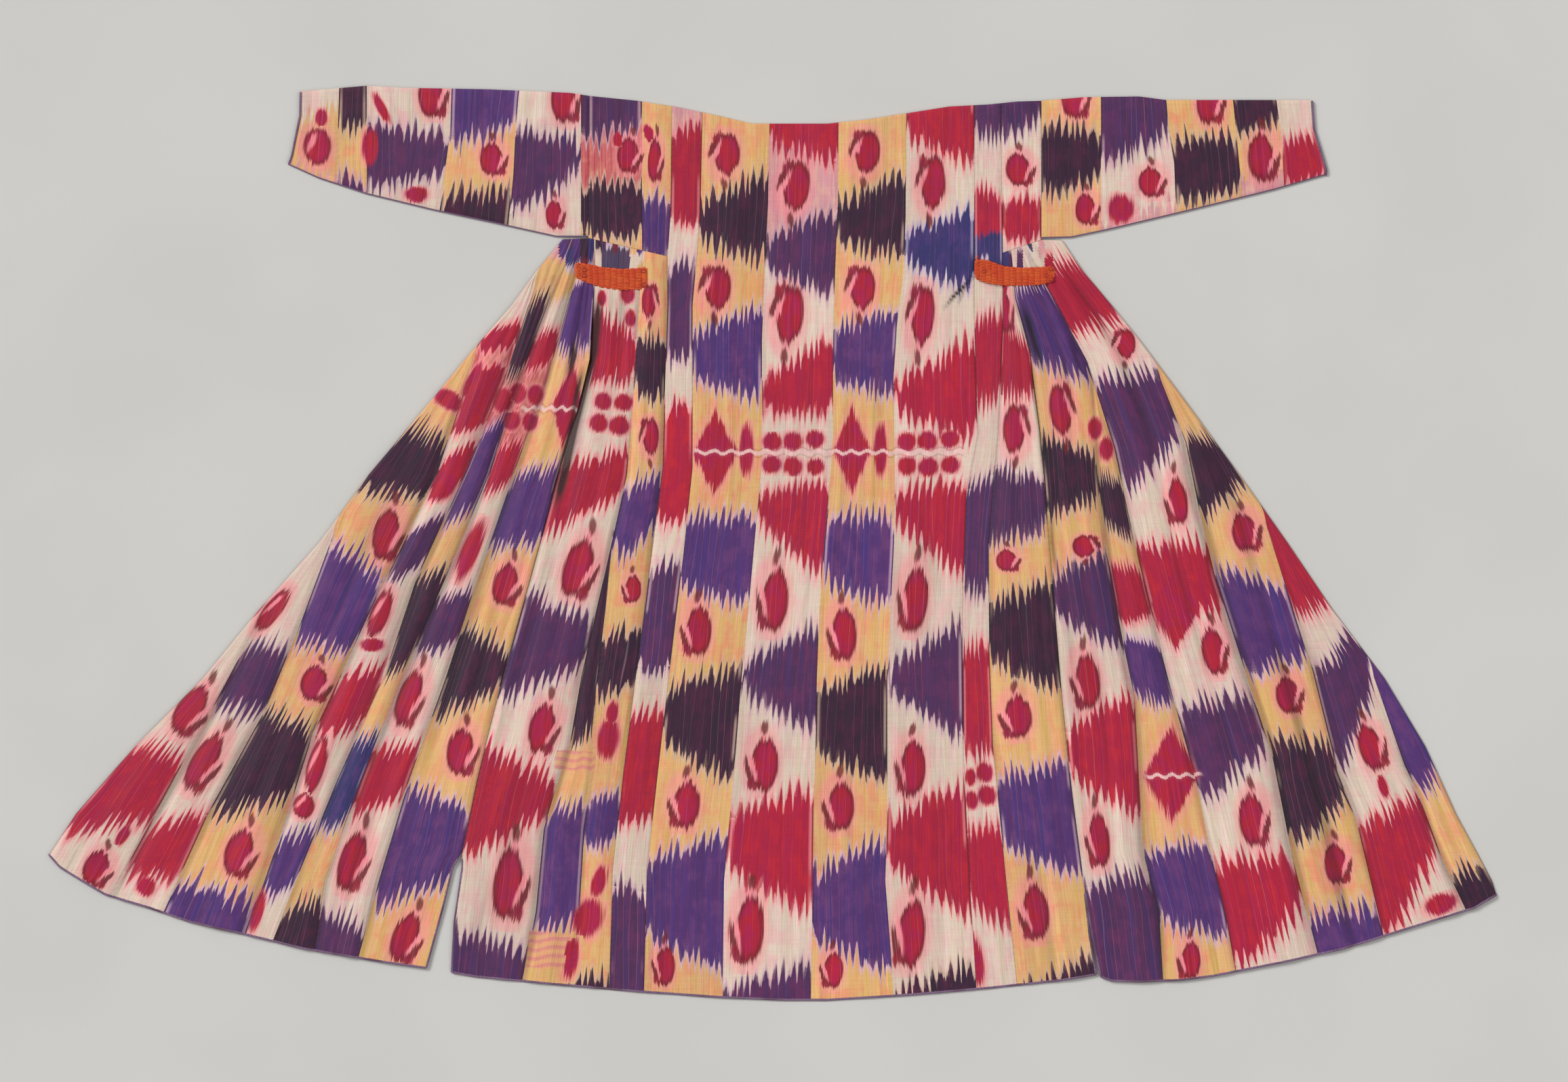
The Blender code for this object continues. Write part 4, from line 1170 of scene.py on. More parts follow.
def back_pieces():
    shoulder = lambda x: edge_y(SHOULDER, x)
    hem = lambda x: edge_y(HEM, x)
    for k, name in enumerate(("back_centre", "back_strip_left",
                              "back_strip_right")):
        g = grid(name, shoulder, hem, 1230, fine_top=True)
        g.seed = 0.3 + 1.7 * k
        dark = shadow_of(g)
        z = surface(g)
        z = z + seam_groove(g.from_left, g.y, 41) + seam_groove(
            g.from_right, g.y, 42)
        z = np.maximum(z, layer_height(g.x, g.y) * 0.87 + SHELL + 0.05)
        z = roll(g.from_top, z)
        # painted shade: darker colour in the troughs and in the deep folds
        g.soil = soil_of(g, z) + 1.5 * dark
        SURFACES[name] = (g, z)
        PIECES[name] = shell(name + "_cloth", g, z, *chart_place(g))
    for side in ("left", "right"):
        name = f"back_side_{side}"
        under = lambda x, s=side: run_y(UNDERARM[s], x)
        g = grid(name, shoulder, under, 205, fine_top=True)
        g.seed = 5.1 if side == "left" else 6.3
        z = surface(g)
        z = z + seam_groove(g.from_left, g.y, 43) + seam_groove(
            g.from_right, g.y, 44) + seam_groove(g.from_hem, g.x, 45)
        z = np.maximum(z, LIFT * 0.87 + SHELL + 0.05)
        z = roll(g.from_top, z)
        # painted shade: darker colour in the troughs between folds
        g.soil = soil_of(g, z)
        g.from_hem = g.from_hem + 60
        PIECES[name] = shell(name + "_cloth", g, z, *chart_place(g))


def skirt_pieces():
    hem = lambda x: edge_y(HEM, x)
    for side in ("left", "right"):
        under = lambda x, s=side: run_y(UNDERARM[s], x) - 0.3
        for part in ("inner", "outer"):
            name = f"skirt_{side}_{part}"
            fold = side if part == "outer" else None
            g = grid(name, under, hem, 1040, side_fold=fold)
            g.seed = {"left": 7.7, "right": 9.9}[side] + (part == "inner")
            z = surface(g, side)
            z = z + seam_groove(g.from_top, g.x, 46)
            for d, at_fold in ((g.from_left, side == "left"),
                               (g.from_right, side == "right")):
                if part == "outer" and at_fold:
                    continue
                z = z + seam_groove(d, g.y, 47)
            dark = shadow_of(g)
            z = under_band(side, g.x, g.y, z - 1.6 * dark)
            z = np.maximum(z, layer_height(g.x, g.y) * 0.87 + SHELL + 0.05)
            if part == "outer":
                d = g.from_left if side == "left" else g.from_right
                z = roll(d, z)
            # painted shade: darker colour in the troughs and in the deep folds
            g.soil = soil_of(g, z) + 1.5 * dark
            SURFACES[name] = (g, z)
            PIECES[name] = shell(name + "_cloth", g, z, *chart_place(g))


def sleeve_pieces():
    for side in ("left", "right"):
        name = f"sleeve_{side}"
        top = lambda x, s=side: run_y(SLEEVES[s]["top"], x)
        low = lambda x, s=side: run_y(SLEEVES[s]["under"], x)
        g = grid(name, top, low, 170, pitch=4.0)
        g.seed = 12.3 if side == "left" else 14.9
        n, m = g.x.shape
        X, Y = chart_place(g)
        d = np.minimum(g.from_top, g.from_hem)
        half = 1.75 * np.sqrt(np.clip(1 - (1 - np.clip(
            d / 3.0, 0, 1)) ** 2, 0, 1))
        away = smooth(0, 14, d)
        extra = (crease_height(name, g.x, g.y)
                 + 0.5 * drift(g.x / 50, g.y / 60, 51)
                 + 0.2 * drift(g.x / 17, g.y / 30, 52)) * away
        arm = g.from_right if side == "left" else g.from_left
        extra = extra + seam_groove(arm, g.y, 53) * away
        # painted shade: darker colour in the troughs between folds
        g.soil = soil_of(g, 1.75 + half + extra)
        zt = 1.75 + half + extra
        zt = np.maximum(zt, 1.75 + np.minimum(half, 1.0))
        zb = 1.75 - half + 0.12 * (1 + drift(g.x / 30, g.y / 40, 54)) * away
        inner_half = np.maximum(half - SHELL, 0.05)
        yt = g.y
        middle = 0.5 * (g.y[:1] + g.y[-1:])
        yi = middle + (g.y - middle) * (1 - 2 * SHELL / np.abs(
            g.y[:1] - g.y[-1:]))
        zti = zt - SHELL
        zti = np.where(half < SHELL + 0.3, 1.75 + 0.25 * half, zti)
        zbi = 1.75 - inner_half
        zbi = np.where(half < SHELL + 0.3, 1.75 - 0.25 * half, np.maximum(
            zb + SHELL, 0.2))
        zti = np.maximum(zti, zbi + 0.1)
        # ring: over the top layer from the under edge, then back beneath
        def ring(yy, za, zc):
            up = to_metres(g.x[::-1], yy[::-1], za[::-1])
            dn = to_metres(g.x, yy, zc)[1:-1]
            return np.concatenate([up, dn])        # rings x m
        outer, inner = ring(yt, zt, zb), ring(yi, zti, zbi)
        CUFFS[side] = outer[:, 0 if side == "left" else m - 1]
        r = len(outer)
        layers = layers_of(g, X, Y)
        cells = m - 1
        quads, source = [], []
        face = lambda i, j: i * cells + j
        for k in range(r):
            k2 = (k + 1) % r
            if k < n - 1:                 # top layer, rows n-1-k -> n-2-k
                i = n - 2 - k
                order = (1, 0, 3, 2)
            else:                         # under layer
                i = k - (n - 1)
                order = (0, 1, 2, 3)
            for j in range(m - 1):
                quads.append((k * m + j, k2 * m + j, k2 * m + j + 1,
                              k * m + j + 1))
                source.append((face(i, j), *order, k >= n - 1))
        quads, source = np.array(quads), np.array(source)
        # the upper layer's winding must face up
        quads = quads[:, ::-1]
        order = source[:, 1:5][:, ::-1]
        shift = r * m
        inner_quads = shift + quads[:, ::-1]
        ends, end_src = [], []
        for j, corner in ((0, 0), (m - 1, 3)):
            for k in range(r):
                k2 = (k + 1) % r
                i = n - 2 - k if k < n - 1 else k - (n - 1)
                q = (k * m + j, k2 * m + j, shift + k2 * m + j,
                     shift + k * m + j)
                if j:
                    q = q[::-1]
                ends.append(q)
                end_src.append((face(i, min(j, m - 2)), corner))
        ends, end_src = np.array(ends), np.array(end_src)
        out = {}
        for key, values in layers.items():
            a = values[source[:, :1], order]
            b = a[:, ::-1].copy()
            c = np.repeat(values[end_src[:, 0], end_src[:, 1]][:, None], 4, 1)
            if key == "tie":
                b[..., 2] = 1.0
            if key == "figure":
                a = a.copy()
            out[key] = np.concatenate([a, b, c])
        verts = np.concatenate([outer.reshape(-1, 3), inner.reshape(-1, 3)])
        PIECES[name] = make_mesh(name + "_cloth", verts, np.concatenate(
            [quads, inner_quads, ends]), out)


# ------------------------------------------------------------- hidden fronts
def inset_line(name, distance):
    p = LINES[name]
    run = np.gradient(p, axis=0)
    run /= np.linalg.norm(run, axis=1, keepdims=True)
    return p + distance * np.stack([-run[:, 1], run[:, 0]], -1)


def between(first, last, share):
    y = np.linspace(640, -640, 65)
    x = line_x(first, y) * (1 - share) + line_x(last, y) * share
    return np.stack([x, y], -1)


def front_lines():
    for side, sign in (("left", 1), ("right", -1)):
        (x0, y0), (x1, y1) = FRONT_SEAM[side]
        LINES[f"front_seam_{side}"] = rows(((x0, 640), (x0, y0), (x1, y1)))
        LINES[f"front_edge_{side}"] = rows(FRONT_EDGE[side])
        LINES[f"inset_{side}"] = inset_line(f"fold_{side}", sign * INSET)
        LINES[f"front_middle_{side}"] = between(
            f"front_seam_{side}", f"front_edge_{side}", 0.5)
        for k in (1, 2):
            LINES[f"front_fan_{side}_{k}"] = between(
                f"inset_{side}", f"front_seam_{side}", k / 3)


# The fronts are cut from the same silk: which strips of the back each of
# their own strips repeats.
FRONT_STRIPS = {
    "front_left": ("back_centre", (("front_seam_left", "front_middle_left",
                                    0),
                                   ("front_middle_left", "front_edge_left",
                                    1))),
    "front_right": ("back_centre", (("front_edge_right",
                                     "front_middle_right", 2),
                                    ("front_middle_right",
                                     "front_seam_right", 3))),
    "skirt_front_left": ("skirt_left_outer", (
        ("inset_left", "front_fan_left_1", 2),
        ("front_fan_left_1", "front_fan_left_2", 4),
        ("front_fan_left_2", "front_seam_left", 5))),
    "skirt_front_right": ("skirt_right_outer", (
        ("front_seam_right", "front_fan_right_2", 2),
        ("front_fan_right_2", "front_fan_right_1", 3),
        ("front_fan_right_1", "inset_right", 4))),
}


def front_pieces():
    front_lines()
    for k, (name, (source, strips)) in enumerate(FRONT_STRIPS.items()):
        STRIPS[name] = tuple((a, b, STRIPS[source][i][2])
                             for a, b, i in strips)
        gathered = name.startswith("skirt")
        top = ((lambda x: 419.5 + 0 * x) if gathered
               else (lambda x: edge_y(SHOULDER, x) - INSET))
        hem = lambda x: edge_y(HEM, x) + FRONT_SHORT
        g = grid(name, top, hem, 1030 if gathered else 1215, pitch=6.6,
                 cell=5.4)
        g.seed = 17.0 + 1.3 * k
        z = (1.12 + 0.2 * drift(g.x / 60, g.y / 90, 61)
             + 0.12 * drift(g.x / 21, g.y / 40, 62))
        g.soil = 0 * z
        SURFACES[name] = (g, z)
        # the chart's own place of each spot, on the strip that it repeats
        Y = CHART_MIDDLE[1] - g.y / STEP
        X = np.zeros_like(g.x)
        number = np.minimum(np.floor(g.at - 1e-6).astype(int).clip(0),
                            len(strips) - 1)
        for j in range(g.x.shape[1]):
            _, _, i = strips[number[j]]
            a, b, _ = STRIPS[source][i]
            left, right = line_x(a, g.y[:, j]), line_x(b, g.y[:, j])
            share = g.at[j] - number[j]
            X[:, j] = (left + (right - left) * share) / STEP + CHART_MIDDLE[0]
        PIECES[name] = shell(name + "_cloth", g, z, X, Y, source,
                             inside_down=False)


# ------------------------------------------------------------ orange bands
def tube(path, radius, sides=6, flat=1.0, ends=True):
    """Vertices and faces of a tube along a path, both ends closed."""
    p = np.asarray(path, float)
    run = np.gradient(p, axis=0)
    run /= np.linalg.norm(run, axis=1, keepdims=True) + 1e-9
    side = np.cross(run, (0, 0, 1.0))
    side /= np.linalg.norm(side, axis=1, keepdims=True) + 1e-9
    up = np.cross(side, run)
    r = np.broadcast_to(radius, len(p))[:, None]
    verts = []
    for k in range(sides):
        a = 2 * np.pi * (k + 0.5) / sides
        verts.append(p + r * (math.cos(a) * side + flat * math.sin(a) * up))
    verts = np.stack(verts, 1).reshape(-1, 3)
    n, faces = len(p), []
    for i in range(n - 1):
        for k in range(sides):
            a, b = i * sides + k, i * sides + (k + 1) % sides
            faces.append((a, b, b + sides, a + sides))
    if ends:
        faces.append(tuple(range(sides - 1, -1, -1)))
        faces.append(tuple((n - 1) * sides + k for k in range(sides)))
    return verts, faces


def ring_tube(path, radius, sides=6, flat=1.0):
    """A tube along a closed path."""
    p = np.asarray(path, float)
    run = np.roll(p, -1, 0) - np.roll(p, 1, 0)
    run /= np.linalg.norm(run, axis=1, keepdims=True) + 1e-9
    side = np.cross(run, (0, 0, 1.0))
    side /= np.linalg.norm(side, axis=1, keepdims=True) + 1e-9
    up = np.cross(side, run)
    verts = []
    for k in range(sides):
        a = 2 * np.pi * (k + 0.5) / sides
        verts.append(p + radius * (math.cos(a) * side
                                   + flat * math.sin(a) * up))
    verts = np.stack(verts, 1).reshape(-1, 3)
    n, faces = len(p), []
    for i in range(n):
        for k in range(sides):
            a, b = i * sides + k, i * sides + (k + 1) % sides
            c, d = ((i + 1) % n) * sides + (k + 1) % sides, (
                (i + 1) % n) * sides + k
            faces.append((a, b, c, d))
    return verts, faces


def joined(name, parts, tones=None):
    """One object from many (verts, faces), each with its own tone."""
    verts, faces, tone, shift = [], [], [], 0
    for k, (v, f) in enumerate(parts):
        verts.append(v)
        faces += [tuple(i + shift for i in face) for face in f]
        tone += [0.0 if tones is None else tones[k]] * len(f)
        shift += len(v)
    verts = np.concatenate(verts)
    verts = to_metres(verts[:, 0], verts[:, 1], verts[:, 2])
    mesh = bpy.data.meshes.new(name)
    mesh.from_pydata([tuple(v) for v in verts], [], faces)
    mesh.validate()
    mesh.update()
    layer = mesh.attributes.new("tone", "FLOAT", "FACE")
    layer.data.foreach_set("value", np.array(tone, np.float32))
    mesh.shade_smooth()
    ob = bpy.data.objects.new(name, mesh)
    bpy.context.scene.collection.objects.link(ob)
    return ob


PLEAT_PITCH = 8.6        # pleats that the band holds, in mm
THREAD_PITCH = 2.05      # rows of the band's stitching


def band_surface(side, x, y):
    """Top of the band's own cloth, which dips between the pleats."""
    wave = 2 * np.pi * (x / PLEAT_PITCH + 0.12 * np.sin(y / 5.0))
    inside = band_reach(side, x, y)
    swell = smooth(-0.5, 3.5, inside)
    return (band_height(side, x, y) + 0.85 + 0.30 * np.cos(wave) * swell
            + 0.35 * swell - 0.35)


def bands():
    rng = np.random.default_rng(8)
    for side in ("left", "right"):
        table = BANDS[side]
        x = np.arange(table["x"][0], table["x"][-1] + 0.4, 0.9)
        n = 19
        across = np.linspace(1, -1, n)[:, None]
        middle = np.interp(x, table["x"], table["y"])
        half = np.interp(x, table["x"], table["half"])
        ends = np.minimum(x - x[0], x[-1] - x)
        half = half * (0.55 + 0.45 * smooth(0, 4, ends)) * 1.2
        scallop = 0.9 * np.cos(2 * np.pi * x / PLEAT_PITCH)
        X = np.broadcast_to(x, (n, len(x)))
        Y = middle + across * (half - 0.6 + np.where(
            across < 0, scallop, 0.5 * scallop))
        Z = band_surface(side, X, Y)
        m = len(x)
        up = shell_faces(n, m)
        top = np.stack([X, Y, Z], -1).reshape(-1, 3)
        low = np.stack([X, Y, Z - 0.7], -1).reshape(-1, 3)
        faces = [tuple(q) for q in up] + [tuple(q[::-1] + n * m) for q in up]
        rim = [(j + 1, j) for j in range(m - 1)]
        rim += [((n - 1) * m + j, (n - 1) * m + j + 1) for j in range(m - 1)]
        rim += [(i * m, (i + 1) * m) for i in range(n - 1)]
        rim += [((i + 1) * m + m - 1, i * m + m - 1) for i in range(n - 1)]
        faces += [(b, a, n * m + a, n * m + b) for a, b in rim]
        PIECES[f"gather_band_{side}"] = joined(
            f"gather_band_{side}_cloth", [(np.concatenate([top, low]),
                                           faces)], [0.35])
        # silk floats over the crest of every pleat, row under row
        parts, tones = [], []
        pleats = np.arange(math.ceil(x[0] / PLEAT_PITCH),
                           math.floor(x[-1] / PLEAT_PITCH) + 1)
        for crest in pleats * PLEAT_PITCH:
            mid = np.interp(crest, table["x"], table["y"])
            h = np.interp(crest, x, half)
            k = max(2, int((2 * h - 1.5) / THREAD_PITCH))
            for r in range(k):
                y0 = mid + h - 1.4 - (r + 0.5) * (2 * h - 2.4) / k
                s = np.linspace(-1, 1, 9)
                reach = PLEAT_PITCH * (0.50 + 0.05 * rng.random())
                px = crest + s * reach + 0.5 * (rng.random() - 0.5)
                px = np.clip(px, x[0] + 0.6, x[-1] - 0.6)
                py = y0 + 0.35 * (rng.random() - 0.5) + s * 0.5 * (
                    rng.random() - 0.5)
                pz = band_surface(side, px, py) + 0.45 * (1 - s ** 4)
                wide = 0.86 * np.sqrt(np.clip(1.02 - s ** 6, 0.05, 1))
                parts.append(tube(np.stack([px, py, pz], -1), wide, 6, 0.7))
                tones.append(rng.random())
        # looped stitches cover the ends
        for end in (0, 1):
            x0 = x[0] + 6.5 if end == 0 else x[-1] - 5.5
            loops = 5 if (side, end) == ("left", 0) else 3
            for k in range(loops):
                cx = x0 + (k % 2) * 7.0 * (1 if end == 0 else -1)
                mid = np.interp(cx, table["x"], table["y"])
                h = np.interp(cx, x, half)
                cy = mid + h * (0.62 - 1.24 * k / max(loops - 1, 1))
                a = np.linspace(0, 2 * np.pi, 17)[:-1]
                px = cx + 3.6 * np.cos(a) * (1 - 0.25 * np.sin(a))
                py = cy + 2.5 * np.sin(a)
                pz = band_surface(side, px, py) + 0.95
                parts.append(ring_tube(np.stack([px, py, pz], -1), 0.8, 6,
                                       0.8))
                tones.append(1.0 + 0.5 * rng.random())
        PIECES[f"stitches_{side}"] = joined(f"band_{side}_stitches", parts,
                                            tones)


# ------------------------------------------------------------------ edging
def edging():
    """A narrow braid bound over the hem, the slits and the cuffs."""
    def hem_line(name):
        g, z = SURFACES[name]
        return np.stack([g.x[-1], g.y[-1] + 0.6, z[-1] - 0.42], -1)

    def side_line(name, column, start, shift):
        g, z = SURFACES[name]
        j = 0 if column == "first" else -1
        keep = g.y[:, j] < start
        return np.stack([g.x[keep, j] + shift, g.y[keep, j],
                         z[keep, j] - 0.42], -1)

    def thin(path, pitch=3.0):
        path = path[np.r_[True, np.linalg.norm(np.diff(path, axis=0),
                                               axis=1) > 0.05]]
        run = np.r_[0, np.cumsum(np.linalg.norm(np.diff(path, axis=0),
                                                axis=1))]
        t = np.linspace(0, run[-1], max(3, int(run[-1] / pitch)))
        return np.stack([np.interp(t, run, path[:, k]) for k in range(3)],
                        -1)

    left = np.concatenate([hem_line("skirt_left_outer"),
                           side_line("skirt_left_outer", "last", -440,
                                     -0.5)[::-1]])
    middle = np.concatenate([side_line("skirt_left_inner", "first", -440,
                                       0.5)]
                            + [hem_line(n) for n in (
                                "skirt_left_inner", "back_strip_left",
                                "back_centre", "back_strip_right",
                                "skirt_right_inner")]
                            + [side_line("skirt_right_inner", "last", -490,
                                         -0.5)[::-1]])
    right = np.concatenate([side_line("skirt_right_outer", "first", -490,
                                      0.5), hem_line("skirt_right_outer")])
    rng = np.random.default_rng(3)
    parts = []
    for path in (left, middle, right):
        path = thin(path)
        path[:, 2] += 0.12 * rng.standard_normal(len(path))
        parts.append(tube(path, 1.75, 8, 0.62))
    PIECES["hem_edging"] = joined("hem_edging", parts)
    parts = []
    for side, sign in (("left", 1), ("right", -1)):
        ring = CUFFS[side] / MM
        ring = ring + (MIDDLE[0], MIDDLE[1], 0)
        # the cuff's own ring, thinned evenly
        loop = np.concatenate([ring, ring[:1]])
        run = np.r_[0, np.cumsum(np.linalg.norm(np.diff(loop, axis=0),
                                                axis=1))]
        t = np.linspace(0, run[-1], 90)[:-1]
        ring = np.stack([np.interp(t, run, loop[:, k]) for k in range(3)],
                        -1)
        ring[:, 0] += sign * 0.5
        middle_z = 1.75
        n = len(ring)
        verts, faces = [], []
        for k, (dx, dr) in enumerate(((-1.5, 0.0), (-1.2, 0.55), (1.6, 0.55),
                                      (1.9, 0.0), (1.6, -0.3),
                                      (-1.2, -0.3))):
            lift = np.sign(ring[:, 2] - middle_z) * dr
            verts.append(ring + np.stack([dx * sign + 0 * lift, 0 * lift,
                                          lift], -1))
        verts = np.stack(verts, 1).reshape(-1, 3)
        verts[:, 2] = np.maximum(verts[:, 2], 0.05)
        for i in range(n):
            for k in range(6):
                a, b = i * 6 + k, i * 6 + (k + 1) % 6
                j = (i + 1) % n
                faces.append((a, b, j * 6 + (k + 1) % 6, j * 6 + k))
        parts.append((verts, faces))
    PIECES["cuff_edging"] = joined("cuff_edging", parts)
    parts = []
    for side in ("left", "right"):
        g, z = SURFACES[f"front_{side}"]
        j = -1 if side == "left" else 0
        path = np.stack([g.x[:, j], g.y[:, j], z[:, j] - 0.4], -1)
        parts.append(tube(thin(path, 6.0), 1.6, 6, 0.42))
        for name in (f"front_{side}", f"skirt_front_{side}"):
            g, z = SURFACES[name]
            path = np.stack([g.x[-1], g.y[-1], z[-1] - 0.4], -1)
            parts.append(tube(thin(path, 6.0), 1.6, 6, 0.42))
    PIECES["front_edging"] = joined("front_edging", parts)


# --------------------------------------------------------------- materials
def linear(rgb):
    v = np.array(rgb, float) / 255.0
    v = np.where(v <= 0.04045, v / 12.92, ((v + 0.055) / 1.055) ** 2.4)
    return (*v, 1.0)


class Graph:
    """Short names for building a material's nodes."""

    def __init__(self, name):
        self.mat = bpy.data.materials.new(name)
        self.mat.use_nodes = True
        self.tree = self.mat.node_tree
        self.tree.nodes.clear()

    def node(self, kind, **props):
        n = self.tree.nodes.new(kind)
        for key, value in props.items():
            setattr(n, key, value)
        return n

    def put(self, socket, value):
        if isinstance(value, bpy.types.NodeSocket):
            self.tree.links.new(value, socket)
        elif value is not None:
            socket.default_value = value

    def math(self, op, a, b=None, c=None, clamp=False):
        n = self.node("ShaderNodeMath", operation=op, use_clamp=clamp)
        for k, v in enumerate((a, b, c)):
            self.put(n.inputs[k], v)
        return n.outputs[0]

    def add(self, a, b):
        return self.math("ADD", a, b)

    def sub(self, a, b):
        return self.math("SUBTRACT", a, b)

    def mul(self, a, b):
        return self.math("MULTIPLY", a, b)

    def fma(self, a, b, c):
        return self.math("MULTIPLY_ADD", a, b, c)

    def attribute(self, name):
        n = self.node("ShaderNodeAttribute", attribute_name=name)
        s = self.node("ShaderNodeSeparateXYZ")
        self.tree.links.new(n.outputs["Vector"], s.inputs[0])
        return s.outputs[0], s.outputs[1], s.outputs[2]

    def vector(self, x=0.0, y=0.0, z=0.0):
        n = self.node("ShaderNodeCombineXYZ")
        for k, v in enumerate((x, y, z)):
            self.put(n.inputs[k], v)
        return n.outputs[0]

    def step(self, low, high, value, to=(0.0, 1.0)):
        n = self.node("ShaderNodeMapRange", interpolation_type="SMOOTHSTEP")
        self.put(n.inputs["Value"], value)
        self.put(n.inputs["From Min"], low)
        self.put(n.inputs["From Max"], high)
        self.put(n.inputs["To Min"], to[0])
        self.put(n.inputs["To Max"], to[1])
        return n.outputs[0]

    def noise(self, vec, scale=1.0, detail=2.0, rough=0.5, lac=2.0):
        n = self.node("ShaderNodeTexNoise")
        self.put(n.inputs["Vector"], vec)
        n.inputs["Scale"].default_value = scale
        n.inputs["Detail"].default_value = detail
        n.inputs["Roughness"].default_value = rough
        n.inputs["Lacunarity"].default_value = lac
        return n.outputs[0]

    def white(self, x, y, z=0.0):
        n = self.node("ShaderNodeTexWhiteNoise", noise_dimensions="3D")
        self.put(n.inputs["Vector"], self.vector(x, y, z))
        s = self.node("ShaderNodeSeparateColor")
        self.tree.links.new(n.outputs["Color"], s.inputs[0])
        return s.outputs[0], s.outputs[1], s.outputs[2]

    def mix(self, f, a, b, kind="MIX"):
        n = self.node("ShaderNodeMix", data_type="RGBA", blend_type=kind)
        self.put(n.inputs[0], f)
        self.put(n.inputs[6], a)
        self.put(n.inputs[7], b)
        return n.outputs[2]

    def lerp(self, f, a, b):
        n = self.node("ShaderNodeMix", data_type="FLOAT")
        self.put(n.inputs[0], f)
        self.put(n.inputs[2], a)
        self.put(n.inputs[3], b)
        return n.outputs[0]

    def ramp(self, fac, stops, kind="LINEAR"):
        n = self.node("ShaderNodeValToRGB")
        n.color_ramp.interpolation = kind
        e = n.color_ramp.elements
        while len(e) > 1:
            e.remove(e[-1])
        e[0].position, e[0].color = stops[0][0], stops[0][1]
        for at, colour in stops[1:]:
            e.new(at).color = colour
        self.put(n.inputs[0], fac)
        return n.outputs[0], n.outputs[1]

    def finish(self, shader, bump=None, strength=0.5, distance=0.0005):
        out = self.node("ShaderNodeOutputMaterial")
        if bump is not None:
            n = self.node("ShaderNodeBump")
            n.inputs["Strength"].default_value = strength
            n.inputs["Distance"].default_value = distance
            self.put(n.inputs["Height"], bump)
            self.put(shader.inputs["Normal"], n.outputs[0])
        self.tree.links.new(shader.outputs[0], out.inputs[0])
        return self.mat


# Each dye's mean, its two drifts of tone in the threads, the tone of its
# worn or darker places and the tint that it leaves in the ends of pale
# flames: sRGB, with alpha 1 for a dark dye.
TONES = {
    #          mean            streak          mottle          edge
    "yellow": ((230, 179, 122), (208, 168, 88), (240, 148, 114),
               (206, 176, 110)),
    "white": ((230, 206, 190), (206, 190, 164), (238, 184, 182),
              (214, 184, 166)),
    "red": ((174, 12, 50), (156, 10, 66), (192, 24, 42), (108, 8, 32)),
    "violet": ((84, 40, 106), (58, 42, 114), (106, 54, 112), (46, 22, 74)),
    "purple": ((80, 34, 80), (62, 38, 92), (100, 38, 86), (46, 18, 50)),
    "dark": ((54, 14, 48), (38, 20, 42), (80, 20, 56), (28, 10, 26)),
    "pink": ((220, 158, 162), (206, 124, 140), (234, 182, 162),
             (190, 110, 110)),
    "lining": ((70, 44, 56), (56, 36, 50), (84, 50, 58), (50, 30, 40)),
    "navy": ((52, 42, 104), (34, 44, 92), (78, 50, 116), (34, 28, 72)),
    "slate": ((66, 50, 82), (90, 76, 106), (84, 44, 72), (46, 34, 60)),
    "salmon": ((206, 104, 104), (180, 40, 66), (222, 140, 120),
               (170, 60, 76)),
    "maroon": ((116, 26, 46), (92, 20, 44), (150, 30, 50), (70, 16, 34)),
}
TINTS = {"yellow": (232, 190, 120), "white": (226, 203, 188),
         "red": (244, 146, 150), "violet": (216, 176, 198),
         "purple": (214, 172, 184), "dark": (212, 178, 158),
         "pink": (226, 160, 150), "lining": (204, 180, 170),
         "navy": (196, 176, 206), "slate": (206, 190, 204),
         "salmon": (238, 164, 150), "maroon": (232, 150, 150)}
DARK = {"red", "violet", "purple", "dark", "lining", "navy", "slate",
        "maroon"}


def dye_stops(which):
    stops = []
    for k, name in enumerate(DYES):
        rgb = TINTS[name] if which is None else TONES[name][which]
        colour = linear(rgb)
        stops.append((k / 12.0, (*colour[:3],
                                 1.0 if name in DARK else 0.0)))
    return stops


